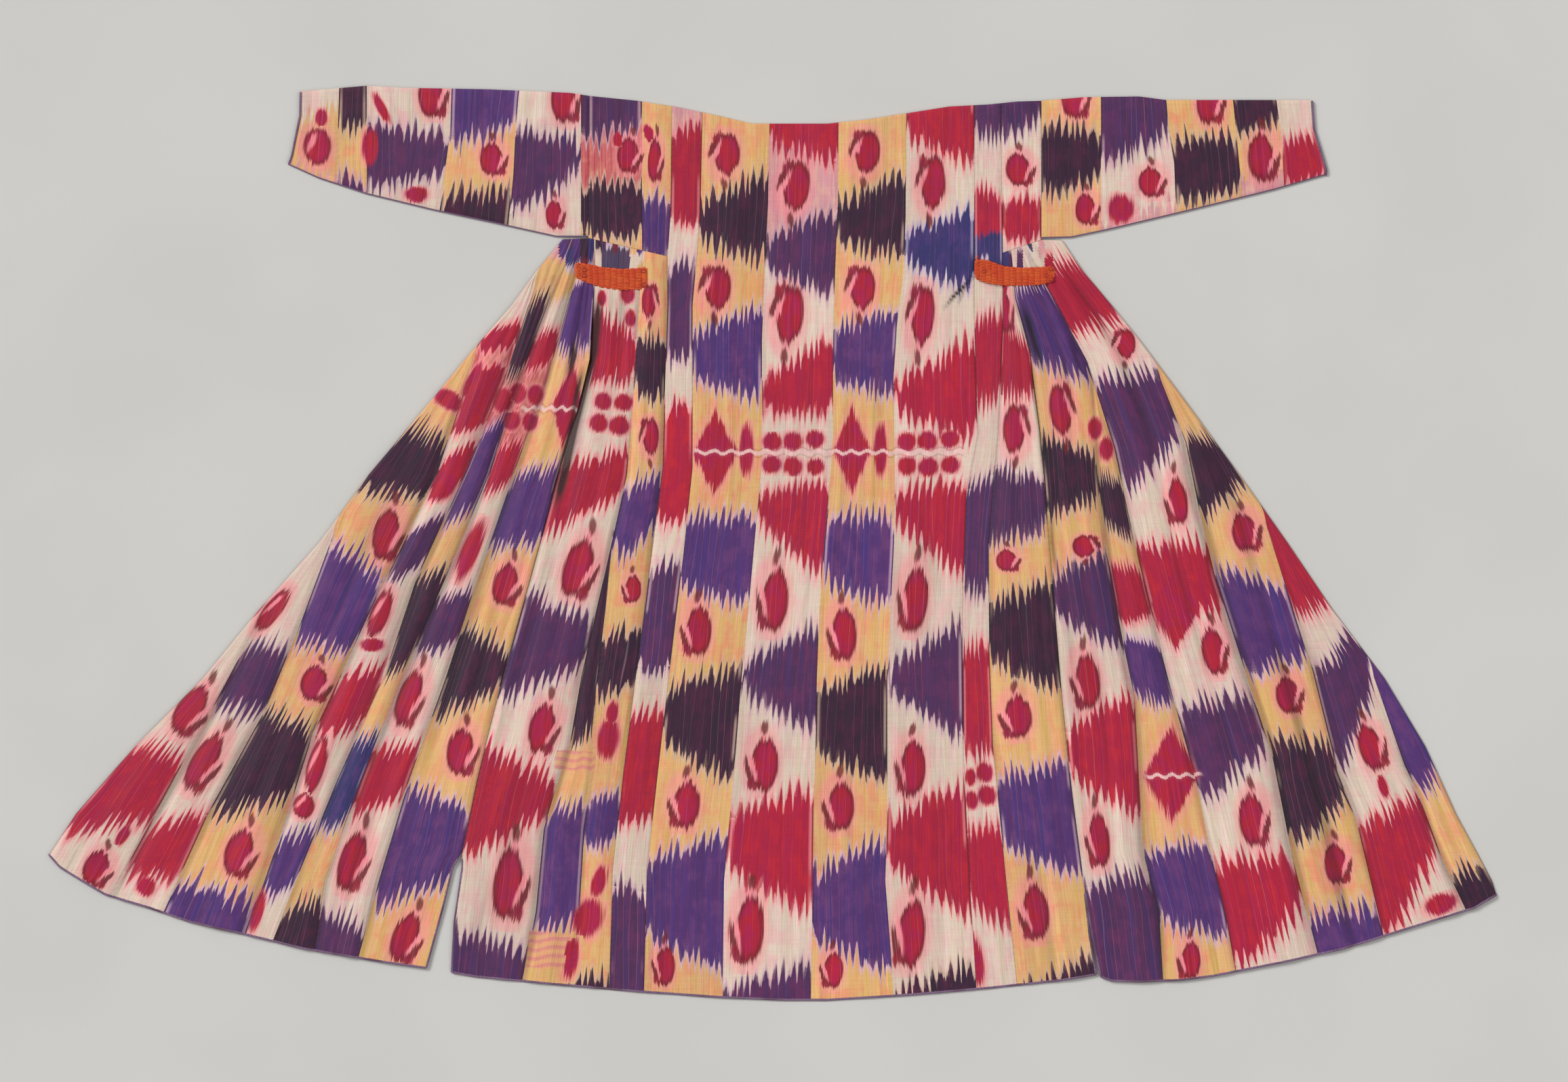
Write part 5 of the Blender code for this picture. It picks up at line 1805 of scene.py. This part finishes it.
def silk(name="ikat_silk"):
    g = Graph(name)
    u, v, strip = g.attribute("weave")
    e1, e2, rim = g.attribute("edge")
    i0, i1, i2 = g.attribute("dye")
    s1, s2, inside = g.attribute("tie")
    k1, k2, border = g.attribute("slant")
    p, q, kind = g.attribute("figure")
    # the third value of mark is painted shade for the troughs and the deep folds
    thread, seen, soil = g.attribute("mark")

    # threads: fine raggedness of every dyed edge
    fine = g.noise(g.vector(g.mul(u, 1 / 1.25), g.mul(v, 1 / 60.0),
                            g.mul(strip, 7.7)), 1.0, 1.0, 0.5)
    broad = g.noise(g.vector(g.mul(u, 1 / 4.6), g.mul(v, 1 / 90.0),
                             g.mul(strip, 3.1)), 1.0, 1.0, 0.5)
    ragged = g.add(g.mul(g.sub(fine, 0.5), 15.0),
                   g.mul(g.sub(broad, 0.5), 17.0))
    # the tied bundles of warp are not quite even
    sway = g.noise(g.vector(g.mul(u, 1 / 24.0), g.mul(v, 1 / 170.0),
                            g.mul(strip, 2.9)), 1.0, 0.0, 0.5)
    where = g.fma(g.sub(sway, 0.5), 15.0, u)
    at = g.fma(where, 1 / BUNDLE, 50.25)
    cell = g.math("FLOOR", at)
    f = g.sub(at, cell)

    def flame(e, tied, slope):
        seed = g.math("FRACT", tied)
        reach = g.mul(g.math("FLOOR", tied), 0.1)
        r1, r2, r3 = g.white(cell, g.mul(seed, 31.7), g.mul(strip, 3.3))
        # each finger is drawn out to its own side and has a round tip
        peak = g.fma(r3, 0.4, 0.30)
        up = g.math("DIVIDE", f, peak)
        down = g.math("DIVIDE", g.sub(1.0, f), g.sub(1.0, peak))
        tri = g.step(0.06, 0.98, g.math("MINIMUM", up, down))
        centre = g.mul(g.sub(g.add(cell, 0.5), 50.25), BUNDLE)
        level = g.add(e, g.mul(g.mul(slope, g.sub(u, centre)), 0.85))
        tooth = g.mul(g.fma(r2, 26.0, 8.0), g.sub(tri, 0.5))
        half = g.math("FRACT", g.fma(at, 2.0, 0.25))
        small = g.sub(1.0, g.math("ABSOLUTE", g.fma(half, 2.0, -1.0)))
        tooth = g.add(tooth, g.mul(g.sub(small, 0.5), g.mul(r3, 13.0)))
        tooth = g.add(tooth, g.mul(g.sub(r1, 0.5), 12.0))
        return g.add(level, g.mul(g.add(tooth, ragged), reach))

    f1 = flame(e1, s1, k1)
    f2 = flame(e2, s2, k2)

    # tones of the dyes
    streak = g.noise(g.vector(g.mul(u, 1 / 2.6), g.mul(v, 1 / 120.0),
                              g.mul(strip, 5.3)), 1.0, 2.0, 0.6)
    streak2 = g.noise(g.vector(g.mul(u, 1 / 0.9), g.mul(v, 1 / 60.0),
                               g.mul(strip, 2.3)), 1.0, 1.0, 0.5)
    mottle = g.noise(g.vector(g.mul(u, 1 / 17.0), g.mul(v, 1 / 26.0),
                              g.mul(strip, 1.9)), 1.0, 2.0, 0.55)
    w_streak = g.step(0.44, 0.62, streak)
    w_mottle = g.step(0.42, 0.64, mottle)
    near = g.step(3.2, 0.2, border)
    # along some seams a thread or two stayed pale
    pale = g.mul(g.mul(g.step(7.0, 4.0, border), g.step(1.0, 3.0, border)),
                 g.step(0.50, 0.62, g.noise(g.vector(
                     g.mul(strip, 9.7), g.mul(v, 1 / 75.0), 0.5), 1.0, 0.0)))
    # no two blocks and no two bundles took the dye alike
    b1, b2, _ = g.white(g.mul(s1, 17.0), g.mul(s2, 13.0), strip)
    c1, c2, _ = g.white(cell, g.mul(strip, 5.0), g.mul(s1, 3.0))

    def dye(index):
        at = g.fma(index, 1 / 12.0, 1 / 24.0)
        mean, dark = g.ramp(at, dye_stops(0), "CONSTANT")
        line, _ = g.ramp(at, dye_stops(1), "CONSTANT")
        blot, _ = g.ramp(at, dye_stops(2), "CONSTANT")
        rimc, _ = g.ramp(at, dye_stops(3), "CONSTANT")
        c = g.mix(g.mul(w_mottle, g.fma(b1, 0.5, 0.5)), mean, blot)
        c = g.mix(g.mul(w_streak, g.fma(c1, 0.6, 0.4)), c, line)
        c = g.mix(g.mul(near, g.fma(dark, 0.35, 0.25)), c, rimc)
        tint, _ = g.ramp(at, dye_stops(None), "CONSTANT")
        c = g.mix(g.mul(g.mul(dark, pale), 0.55), c, tint)
        return c, dark, tint

    a, b, c = dye(i0), dye(i1), dye(i2)
    # the dark dyes draw back at the seams, which rounds their corners
    shy = g.mul(g.step(15.0, 0.0, border), g.fma(b2, 12.0, 3.0))

    def join(upper, lower, f):
        """The upper dye turns to the lower where f passes zero."""
        way = g.sub(upper[1], lower[1])            # 1: the upper is dark
        f = g.fma(way, g.sub(shy, 5.0), f)
        t = g.step(-2.4, 2.4, f)
        colour = g.mix(t, upper[0], lower[0])
        out = g.mul(f, way)                        # mm into the pale dye
        zone = g.mul(g.math("ABSOLUTE", way), g.mul(
            g.step(-3.0, 1.5, out), g.step(14.0, 3.0, out)))
        tint = g.mix(upper[1], lower[2], upper[2])
        tinted = g.mix(g.mul(zone, 0.78), colour, tint)
        dark = g.lerp(t, upper[1], lower[1])
        return tinted, dark, t

    top, dark_top, _ = join(a, b, f1)
    low = join(b, c, f2)
    whole = g.mix(low[2], top, low[0])
    # the tint of the lower edge shows above it too
    whole = g.mix(g.step(-16.0, -12.0, f2), top, low[0])
    both = g.mul(g.step(16.0, 12.0, f1), g.step(-16.0, -12.0, f2))
    whole = g.mix(g.mul(both, g.step(1.0, -1.0, f1)), whole, top)

    # the red figures; their halo shows on the pale dyes only
    bare = g.sub(1.0, g.lerp(low[2], dark_top, low[1]))
    pj = g.add(p, g.mul(g.sub(fine, 0.5), 0.16))
    qj = g.add(q, g.mul(g.sub(fine, 0.5), 0.56))
    qj = g.add(qj, g.mul(g.sub(broad, 0.5), 0.34))

    def ellipse(cx, cy, rx, ry, lean=0.0, at=(pj, qj)):
        dx = g.sub(at[0], cx)
        dy = g.sub(at[1], cy)
        if lean:
            dx = g.sub(dx, g.mul(dy, lean))
        dx, dy = g.mul(dx, 1 / rx), g.mul(dy, 1 / ry)
        r = g.math("SQRT", g.add(g.mul(dx, dx), g.mul(dy, dy)))
        return r

    def inside_of(r, soft=0.10):
        return g.step(1 + soft, 1 - soft, r)

    def is_kind(n):
        return g.math("COMPARE", kind, float(n), 0.4)

    def rim_of(r):
        return g.step(0.62, 0.98, r)

    # boteh: a drop with a stem above; its foot curls out, back and up on
    # one side, with a pale channel between the curl and the body
    wide = g.step(1.25, 0.30, qj, to=(0.50, 0.74))
    bx = g.math("DIVIDE", g.sub(pj, 0.20), wide)
    by = g.mul(g.add(qj, 0.01), 1 / 0.99)
    r_body = g.math("SQRT", g.add(g.mul(bx, bx), g.mul(by, by)))
    body = inside_of(r_body, 0.10)
    halo = g.mul(bare, g.step(1.5, 0.95, ellipse(0.02, 0.0, 0.95, 1.12)))
    curl = inside_of(ellipse(-0.68, -0.32, 0.17, 0.50, -0.40), 0.25)
    foot = inside_of(ellipse(-0.34, -0.74, 0.42, 0.25, 0.0), 0.2)
    shine = inside_of(ellipse(-0.45, -0.12, 0.13, 0.50, -0.44), 0.35)
    stem = inside_of(ellipse(0.12, 1.34, 0.20, 0.27, 0.30), 0.35)
    link = inside_of(ellipse(0.10, 1.04, 0.12, 0.22, 0.1), 0.5)

    pink = linear((248, 142, 152))
    peach = linear((246, 142, 148))
    crimson = linear((180, 14, 48))
    magenta = linear((172, 10, 70))
    maroon = linear((112, 10, 30))
    brown = linear((112, 40, 34))

    red = g.mix(g.step(0.40, 0.60, mottle), crimson, magenta)
    red = g.mix(g.mul(g.step(0.46, 0.64, streak), 0.45), red, maroon)

    def over(base, mask, colour, amount=1.0):
        return g.mix(g.mul(mask, amount), base, colour)

    botehs = over(whole, halo, peach, 0.56)
    botehs = over(botehs, curl, maroon, 0.95)
    botehs = over(botehs, foot, g.mix(0.5, red, maroon), 0.95)
    botehs = over(botehs, body, g.mix(g.mul(rim_of(r_body), 0.9), red,
                                      maroon))
    botehs = over(botehs, link, pink, 0.8)
    botehs = over(botehs, shine, pink, 0.95)
    botehs = over(botehs, stem, g.mix(mottle, brown, maroon), 0.9)
    whole = g.mix(is_kind(BOTEH), whole, botehs)

    blob = over(whole, g.mul(bare, g.step(1.6, 1.1, ellipse(
        0, 0, 0.95, 0.95))), peach, 0.6)
    r_blob = ellipse(0.04, 0.0, 0.90, 0.94)
    blob = over(blob, inside_of(r_blob, 0.12), g.mix(
        g.mul(rim_of(r_blob), 0.7), red, maroon))
    blob = over(blob, inside_of(ellipse(-0.30, 0.20, 0.20, 0.46, 0.5),
                                0.45), pink, 0.9)
    whole = g.mix(is_kind(BLOB), whole, blob)

    loose = (g.add(pj, g.mul(g.sub(broad, 0.5), 0.5)),
             g.add(qj, g.mul(g.sub(fine, 0.5), 0.5)))
    r_small = ellipse(0, 0, 1.06, 1.08, at=loose)
    small = over(whole, g.mul(bare, g.step(1.55, 1.15, r_small)), peach,
                 0.55)
    small = over(small, inside_of(r_small, 0.2), red)
    whole = g.mix(is_kind(SMALL), whole, small)

    rhomb = g.add(g.math("ABSOLUTE", pj), g.math("ABSOLUTE", qj))
    jewel = over(whole, g.mul(bare, g.step(1.42, 1.10, rhomb)), peach, 0.5)
    jewel = over(jewel, g.step(1.10, 0.96, rhomb), red)
    jewel = over(jewel, g.mul(g.step(0.40, 0.20, rhomb), 0.5), magenta)
    whole = g.mix(is_kind(DIAMOND), whole, jewel)

    # a darn: rows of salmon and straw thread worked over a worn place
    worked = g.mul(g.step(1.12, 0.94, g.math("ABSOLUTE", pj)),
                   g.step(1.12, 0.94, g.math("ABSOLUTE", q)))
    row = g.math("FRACT", g.fma(v, 1 / 12.0, g.mul(sway, 0.9)))
    darned = g.mix(g.step(0.30, 0.60, row), linear((220, 134, 126)),
                   linear((230, 166, 118)))
    whole = g.mix(g.mul(is_kind(DARN), g.mul(worked, 0.85)), whole, darned)

    # the pale thread that waves across where the warp was tied once more
    wave = g.mul(g.math("SINE", g.mul(u, 2 * math.pi / 27.0)), 2.2)
    off = g.math("ABSOLUTE", g.add(g.add(thread, wave),
                                   g.mul(g.sub(fine, 0.5), 5.0)))
    line = g.mul(seen, g.step(3.4, 1.6, off))
    whole = g.mix(g.mul(line, 0.95), whole, linear((238, 190, 186)))
    beside = g.mul(seen, g.mul(g.step(3.2, 4.4, off),
                               g.step(7.2, 5.2, off)))
    whole = g.mix(g.mul(beside, 0.35), whole, linear((170, 60, 84)))

    # single threads lighter and darker, slubs in the weft
    value = g.add(g.mul(g.sub(streak2, 0.5), 0.55),
                  g.mul(g.sub(streak, 0.5), 0.40))
    value = g.add(value, g.mul(g.sub(b2, 0.5), 0.14))
    value = g.add(value, g.mul(g.sub(c2, 0.5), 0.16))
    # a thread or two at the side of a bundle took no dye
    gap = g.mul(g.step(0.055, 0.0, g.math("MINIMUM", f, g.sub(1.0, f))),
                g.step(0.45, 0.9, c1))
    whole = g.mix(g.mul(gap, 0.26), whole, linear((214, 158, 172)))
    slub = g.noise(g.vector(g.mul(u, 1 / 38.0), g.mul(v, 1 / 1.5),
                            g.mul(strip, 0.7)), 1.0, 1.0, 0.5)
    value = g.add(value, g.mul(g.sub(slub, 0.5), 0.16))
    hsv = g.node("ShaderNodeHueSaturation")
    g.put(hsv.inputs["Color"], whole)
    g.put(hsv.inputs["Value"], g.add(value, 1.0))
    whole = hsv.outputs[0]
    # painted shade: the troughs between folds and the deep folds are darkened in the
    # cloth's colour
    whole = g.mix(g.math("MINIMUM", g.mul(soil, 0.44), 0.93), whole,
                  linear((44, 20, 34)), "MULTIPLY")

    # the hem's turned edge
    whole = g.mix(g.step(2.4, 1.4, rim), whole, linear((112, 84, 112)))

    # the lining: plain dark cotton with a narrow stripe
    stripe = g.step(0.62, 0.74, g.math("FRACT", g.mul(u, 1 / 9.0)))
    plain = g.mix(stripe, linear((54, 34, 46)), linear((84, 48, 58)))
    plain = g.mix(g.mul(w_mottle, 0.4), plain, linear((44, 28, 38)))
    whole = g.mix(inside, whole, plain)

    # weave: fine ribs across, bundles of warp, a little slack
    rib = g.math("SINE", g.mul(v, 2 * math.pi / 1.25))
    warp = g.math("SINE", g.mul(u, 2 * math.pi / 0.8))
    bump = g.add(g.mul(rib, 0.16), g.mul(warp, 0.07))
    bump = g.add(bump, g.mul(streak, 1.1))
    bump = g.add(bump, g.mul(streak2, 0.55))
    slack = g.noise(g.vector(g.mul(u, 1 / 11.0), g.mul(v, 1 / 44.0),
                             g.mul(strip, 4.1)), 1.0, 1.0, 0.5)
    bump = g.add(bump, g.mul(slack, 2.6))
    pucker = g.mul(g.math("SINE", g.mul(v, 2 * math.pi / 9.0)),
                   g.step(6.0, 0.5, border))
    bump = g.add(bump, g.mul(pucker, 0.5))

    shader = g.node("ShaderNodeBsdfPrincipled")
    g.put(shader.inputs["Base Color"], whole)
    rough = g.add(g.mul(g.sub(streak, 0.5), 0.28), 0.56)
    rough = g.add(rough, g.mul(g.sub(mottle, 0.5), 0.12))
    rough = g.lerp(inside, rough, 0.88)
    g.put(shader.inputs["Roughness"], rough)
    shader.inputs["Specular IOR Level"].default_value = 0.35
    shader.inputs["Sheen Weight"].default_value = 0.12
    shader.inputs["Sheen Roughness"].default_value = 0.45
    return g.finish(shader, bump, 0.55, 0.0006)


def thread_silk(name, main, deep, light):
    """Stranded silk of the band's stitches."""
    g = Graph(name)
    n = g.node("ShaderNodeAttribute", attribute_name="tone")
    tone = n.outputs["Fac"]
    co = g.node("ShaderNodeTexCoord").outputs["Object"]
    fine = g.noise(co, 900.0, 2.0, 0.6)
    broad = g.noise(co, 60.0, 2.0, 0.5)
    c = g.mix(g.step(0.35, 0.75, broad), linear(main), linear(light))
    c = g.mix(g.step(0.75, 1.4, tone), c, linear(deep))
    c = g.mix(g.mul(g.step(0.45, 0.65, fine), 0.35), c, linear(deep))
    shader = g.node("ShaderNodeBsdfPrincipled")
    g.put(shader.inputs["Base Color"], c)
    g.put(shader.inputs["Roughness"], g.fma(fine, 0.3, 0.36))
    shader.inputs["Sheen Weight"].default_value = 0.15
    shader.inputs["Sheen Roughness"].default_value = 0.4
    twist = g.node("ShaderNodeTexWave", wave_type="BANDS",
                   bands_direction="DIAGONAL")
    g.put(twist.inputs["Vector"], co)
    twist.inputs["Scale"].default_value = 260.0
    twist.inputs["Distortion"].default_value = 1.5
    return g.finish(shader, g.add(g.mul(twist.outputs[1], 0.6), fine), 0.5,
                    0.0003)


def braid(name):
    """The narrow braid that binds the edges."""
    g = Graph(name)
    co = g.node("ShaderNodeTexCoord").outputs["Object"]
    chequer = g.node("ShaderNodeTexChecker")
    g.put(chequer.inputs["Vector"], co)
    chequer.inputs["Scale"].default_value = 480.0
    chequer.inputs["Color1"].default_value = linear((104, 78, 110))
    chequer.inputs["Color2"].default_value = linear((136, 108, 132))
    broad = g.noise(co, 24.0, 2.0, 0.6)
    fine = g.noise(co, 700.0, 2.0, 0.6)
    c = g.mix(g.step(0.4, 0.7, broad), chequer.outputs[0],
              linear((92, 60, 84)))
    shader = g.node("ShaderNodeBsdfPrincipled")
    g.put(shader.inputs["Base Color"], c)
    g.put(shader.inputs["Roughness"], g.fma(fine, 0.3, 0.55))
    shader.inputs["Sheen Weight"].default_value = 0.1
    shader.inputs["Sheen Roughness"].default_value = 0.5
    bump = g.add(g.mul(chequer.outputs[1], 0.8), fine)
    return g.finish(shader, bump, 0.5, 0.0003)


def plain_floor():
    g = Graph("studio_floor")
    co = g.node("ShaderNodeTexCoord").outputs["Object"]
    soft = g.noise(co, 3.0, 2.0, 0.5)
    c = g.mix(g.step(0.3, 0.7, soft), linear((206, 204, 200)),
              linear((210, 208, 204)))
    shader = g.node("ShaderNodeBsdfPrincipled")
    g.put(shader.inputs["Base Color"], c)
    shader.inputs["Roughness"].default_value = 0.9
    shader.inputs["Specular IOR Level"].default_value = 0.1
    return g.finish(shader)


# ------------------------------------------------------------- put together
# Cut size of each piece of cloth in metres, (width, length), and its area
# where the cut isn't a rectangle.
CUTS = {
    "back_centre": ((0.465, 1.29), 0.53),
    "back_strip_left": ((0.075, 1.29), 0.070),
    "back_strip_right": ((0.085, 1.29), 0.064),
    "back_side_left": ((0.145, 0.235), 0.028),
    "back_side_right": ((0.085, 0.235), 0.016),
    "sleeve_left": ((0.435, 0.43), 0.158),
    "sleeve_right": ((0.415, 0.42), 0.142),
    "skirt_left_inner": ((0.31, 1.10), 0.24),
    "skirt_left_outer": ((0.66, 1.10), 0.44),
    "skirt_right_inner": ((0.15, 1.10), 0.115),
    "skirt_right_outer": ((0.66, 1.12), 0.47),
    "front_left": ((0.24, 1.29), 0.24),
    "front_right": ((0.31, 1.29), 0.29),
    "skirt_front_left": ((0.36, 1.05), 0.23),
    "skirt_front_right": ((0.40, 1.05), 0.26),
}
SLOTS = {"back_strip": "back_strip", "back_side": "back_side",
         "back_centre": "back_centre", "sleeve": "sleeve",
         "gather_band": "gather_band", "front": "front",
         "skirt_front": "skirt_front"}


def dress():
    back_pieces()
    skirt_pieces()
    sleeve_pieces()
    front_pieces()
    bands()
    edging()
    cloth = silk()
    orange = thread_silk("orange_floss", (222, 78, 22), (168, 44, 20),
                         (232, 104, 34))
    ground = thread_silk("orange_ground", (204, 62, 24), (150, 40, 26),
                         (222, 84, 28))
    bound = braid("edge_braid")
    for key, piece in PIECES.items():
        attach(piece, "root")
        if key in CUTS:
            piece.data.materials.append(cloth)
            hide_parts(key)
        elif key.startswith("gather_band"):
            piece.data.materials.append(ground)
            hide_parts(key)
        elif key.startswith("stitches"):
            piece.data.materials.append(orange)
        else:
            piece.data.materials.append(bound)
    floor = stage()


def stage():
    n = 40
    s = 12.0
    mesh = bpy.data.meshes.new("studio_floor")
    c = np.linspace(-s, s, n + 1)
    verts = [(x, y, -0.0006) for y in c for x in c]
    faces = [(i * (n + 1) + j, i * (n + 1) + j + 1,
              (i + 1) * (n + 1) + j + 1, (i + 1) * (n + 1) + j)
             for i in range(n) for j in range(n)]
    mesh.from_pydata(verts, [], faces)
    floor = bpy.data.objects.new("studio_floor", mesh)
    bpy.context.scene.collection.objects.link(floor)
    mesh.materials.append(plain_floor())
    return floor


def soft_light(name, place, power, spread):
    """A large far lamp: the same light on all of the floor."""
    from mathutils import Vector
    light = bpy.data.lights.new(name, "SUN")
    light.energy = power
    light.angle = math.radians(spread)
    ob = bpy.data.objects.new(name, light)
    ob.location = place
    ob.rotation_euler = Vector(place).to_track_quat("Z", "Y").to_euler()
    bpy.context.scene.collection.objects.link(ob)


def look():
    scene = bpy.context.scene
    cam = bpy.data.cameras.new("camera")
    cam.sensor_width = 36.0
    width = 2313 * STEP * MM
    height = 6.0
    cam.lens = 36.0 * height / width
    cam.clip_end = 60
    ob = bpy.data.objects.new("camera", cam)
    x = (2313 / 2 - CHART_MIDDLE[0]) * STEP - MIDDLE[0]
    y = (CHART_MIDDLE[1] - 1596 / 2) * STEP - MIDDLE[1]
    ob.location = (x * MM, y * MM, height + 0.004)
    scene.collection.objects.link(ob)
    scene.camera = ob
    world = bpy.data.worlds.new("studio")
    world.use_nodes = True
    back = world.node_tree.nodes["Background"]
    back.inputs[0].default_value = (1, 1, 1, 1)
    back.inputs[1].default_value = 0.42
    scene.world = world
    scene.view_settings.view_transform = "Standard"
    soft_light("key", (-2.7, 2.0, 2.6), 2.12, 24)
    soft_light("fill", (2.8, -1.6, 3.0), 0.60, 50)


dress()
look()
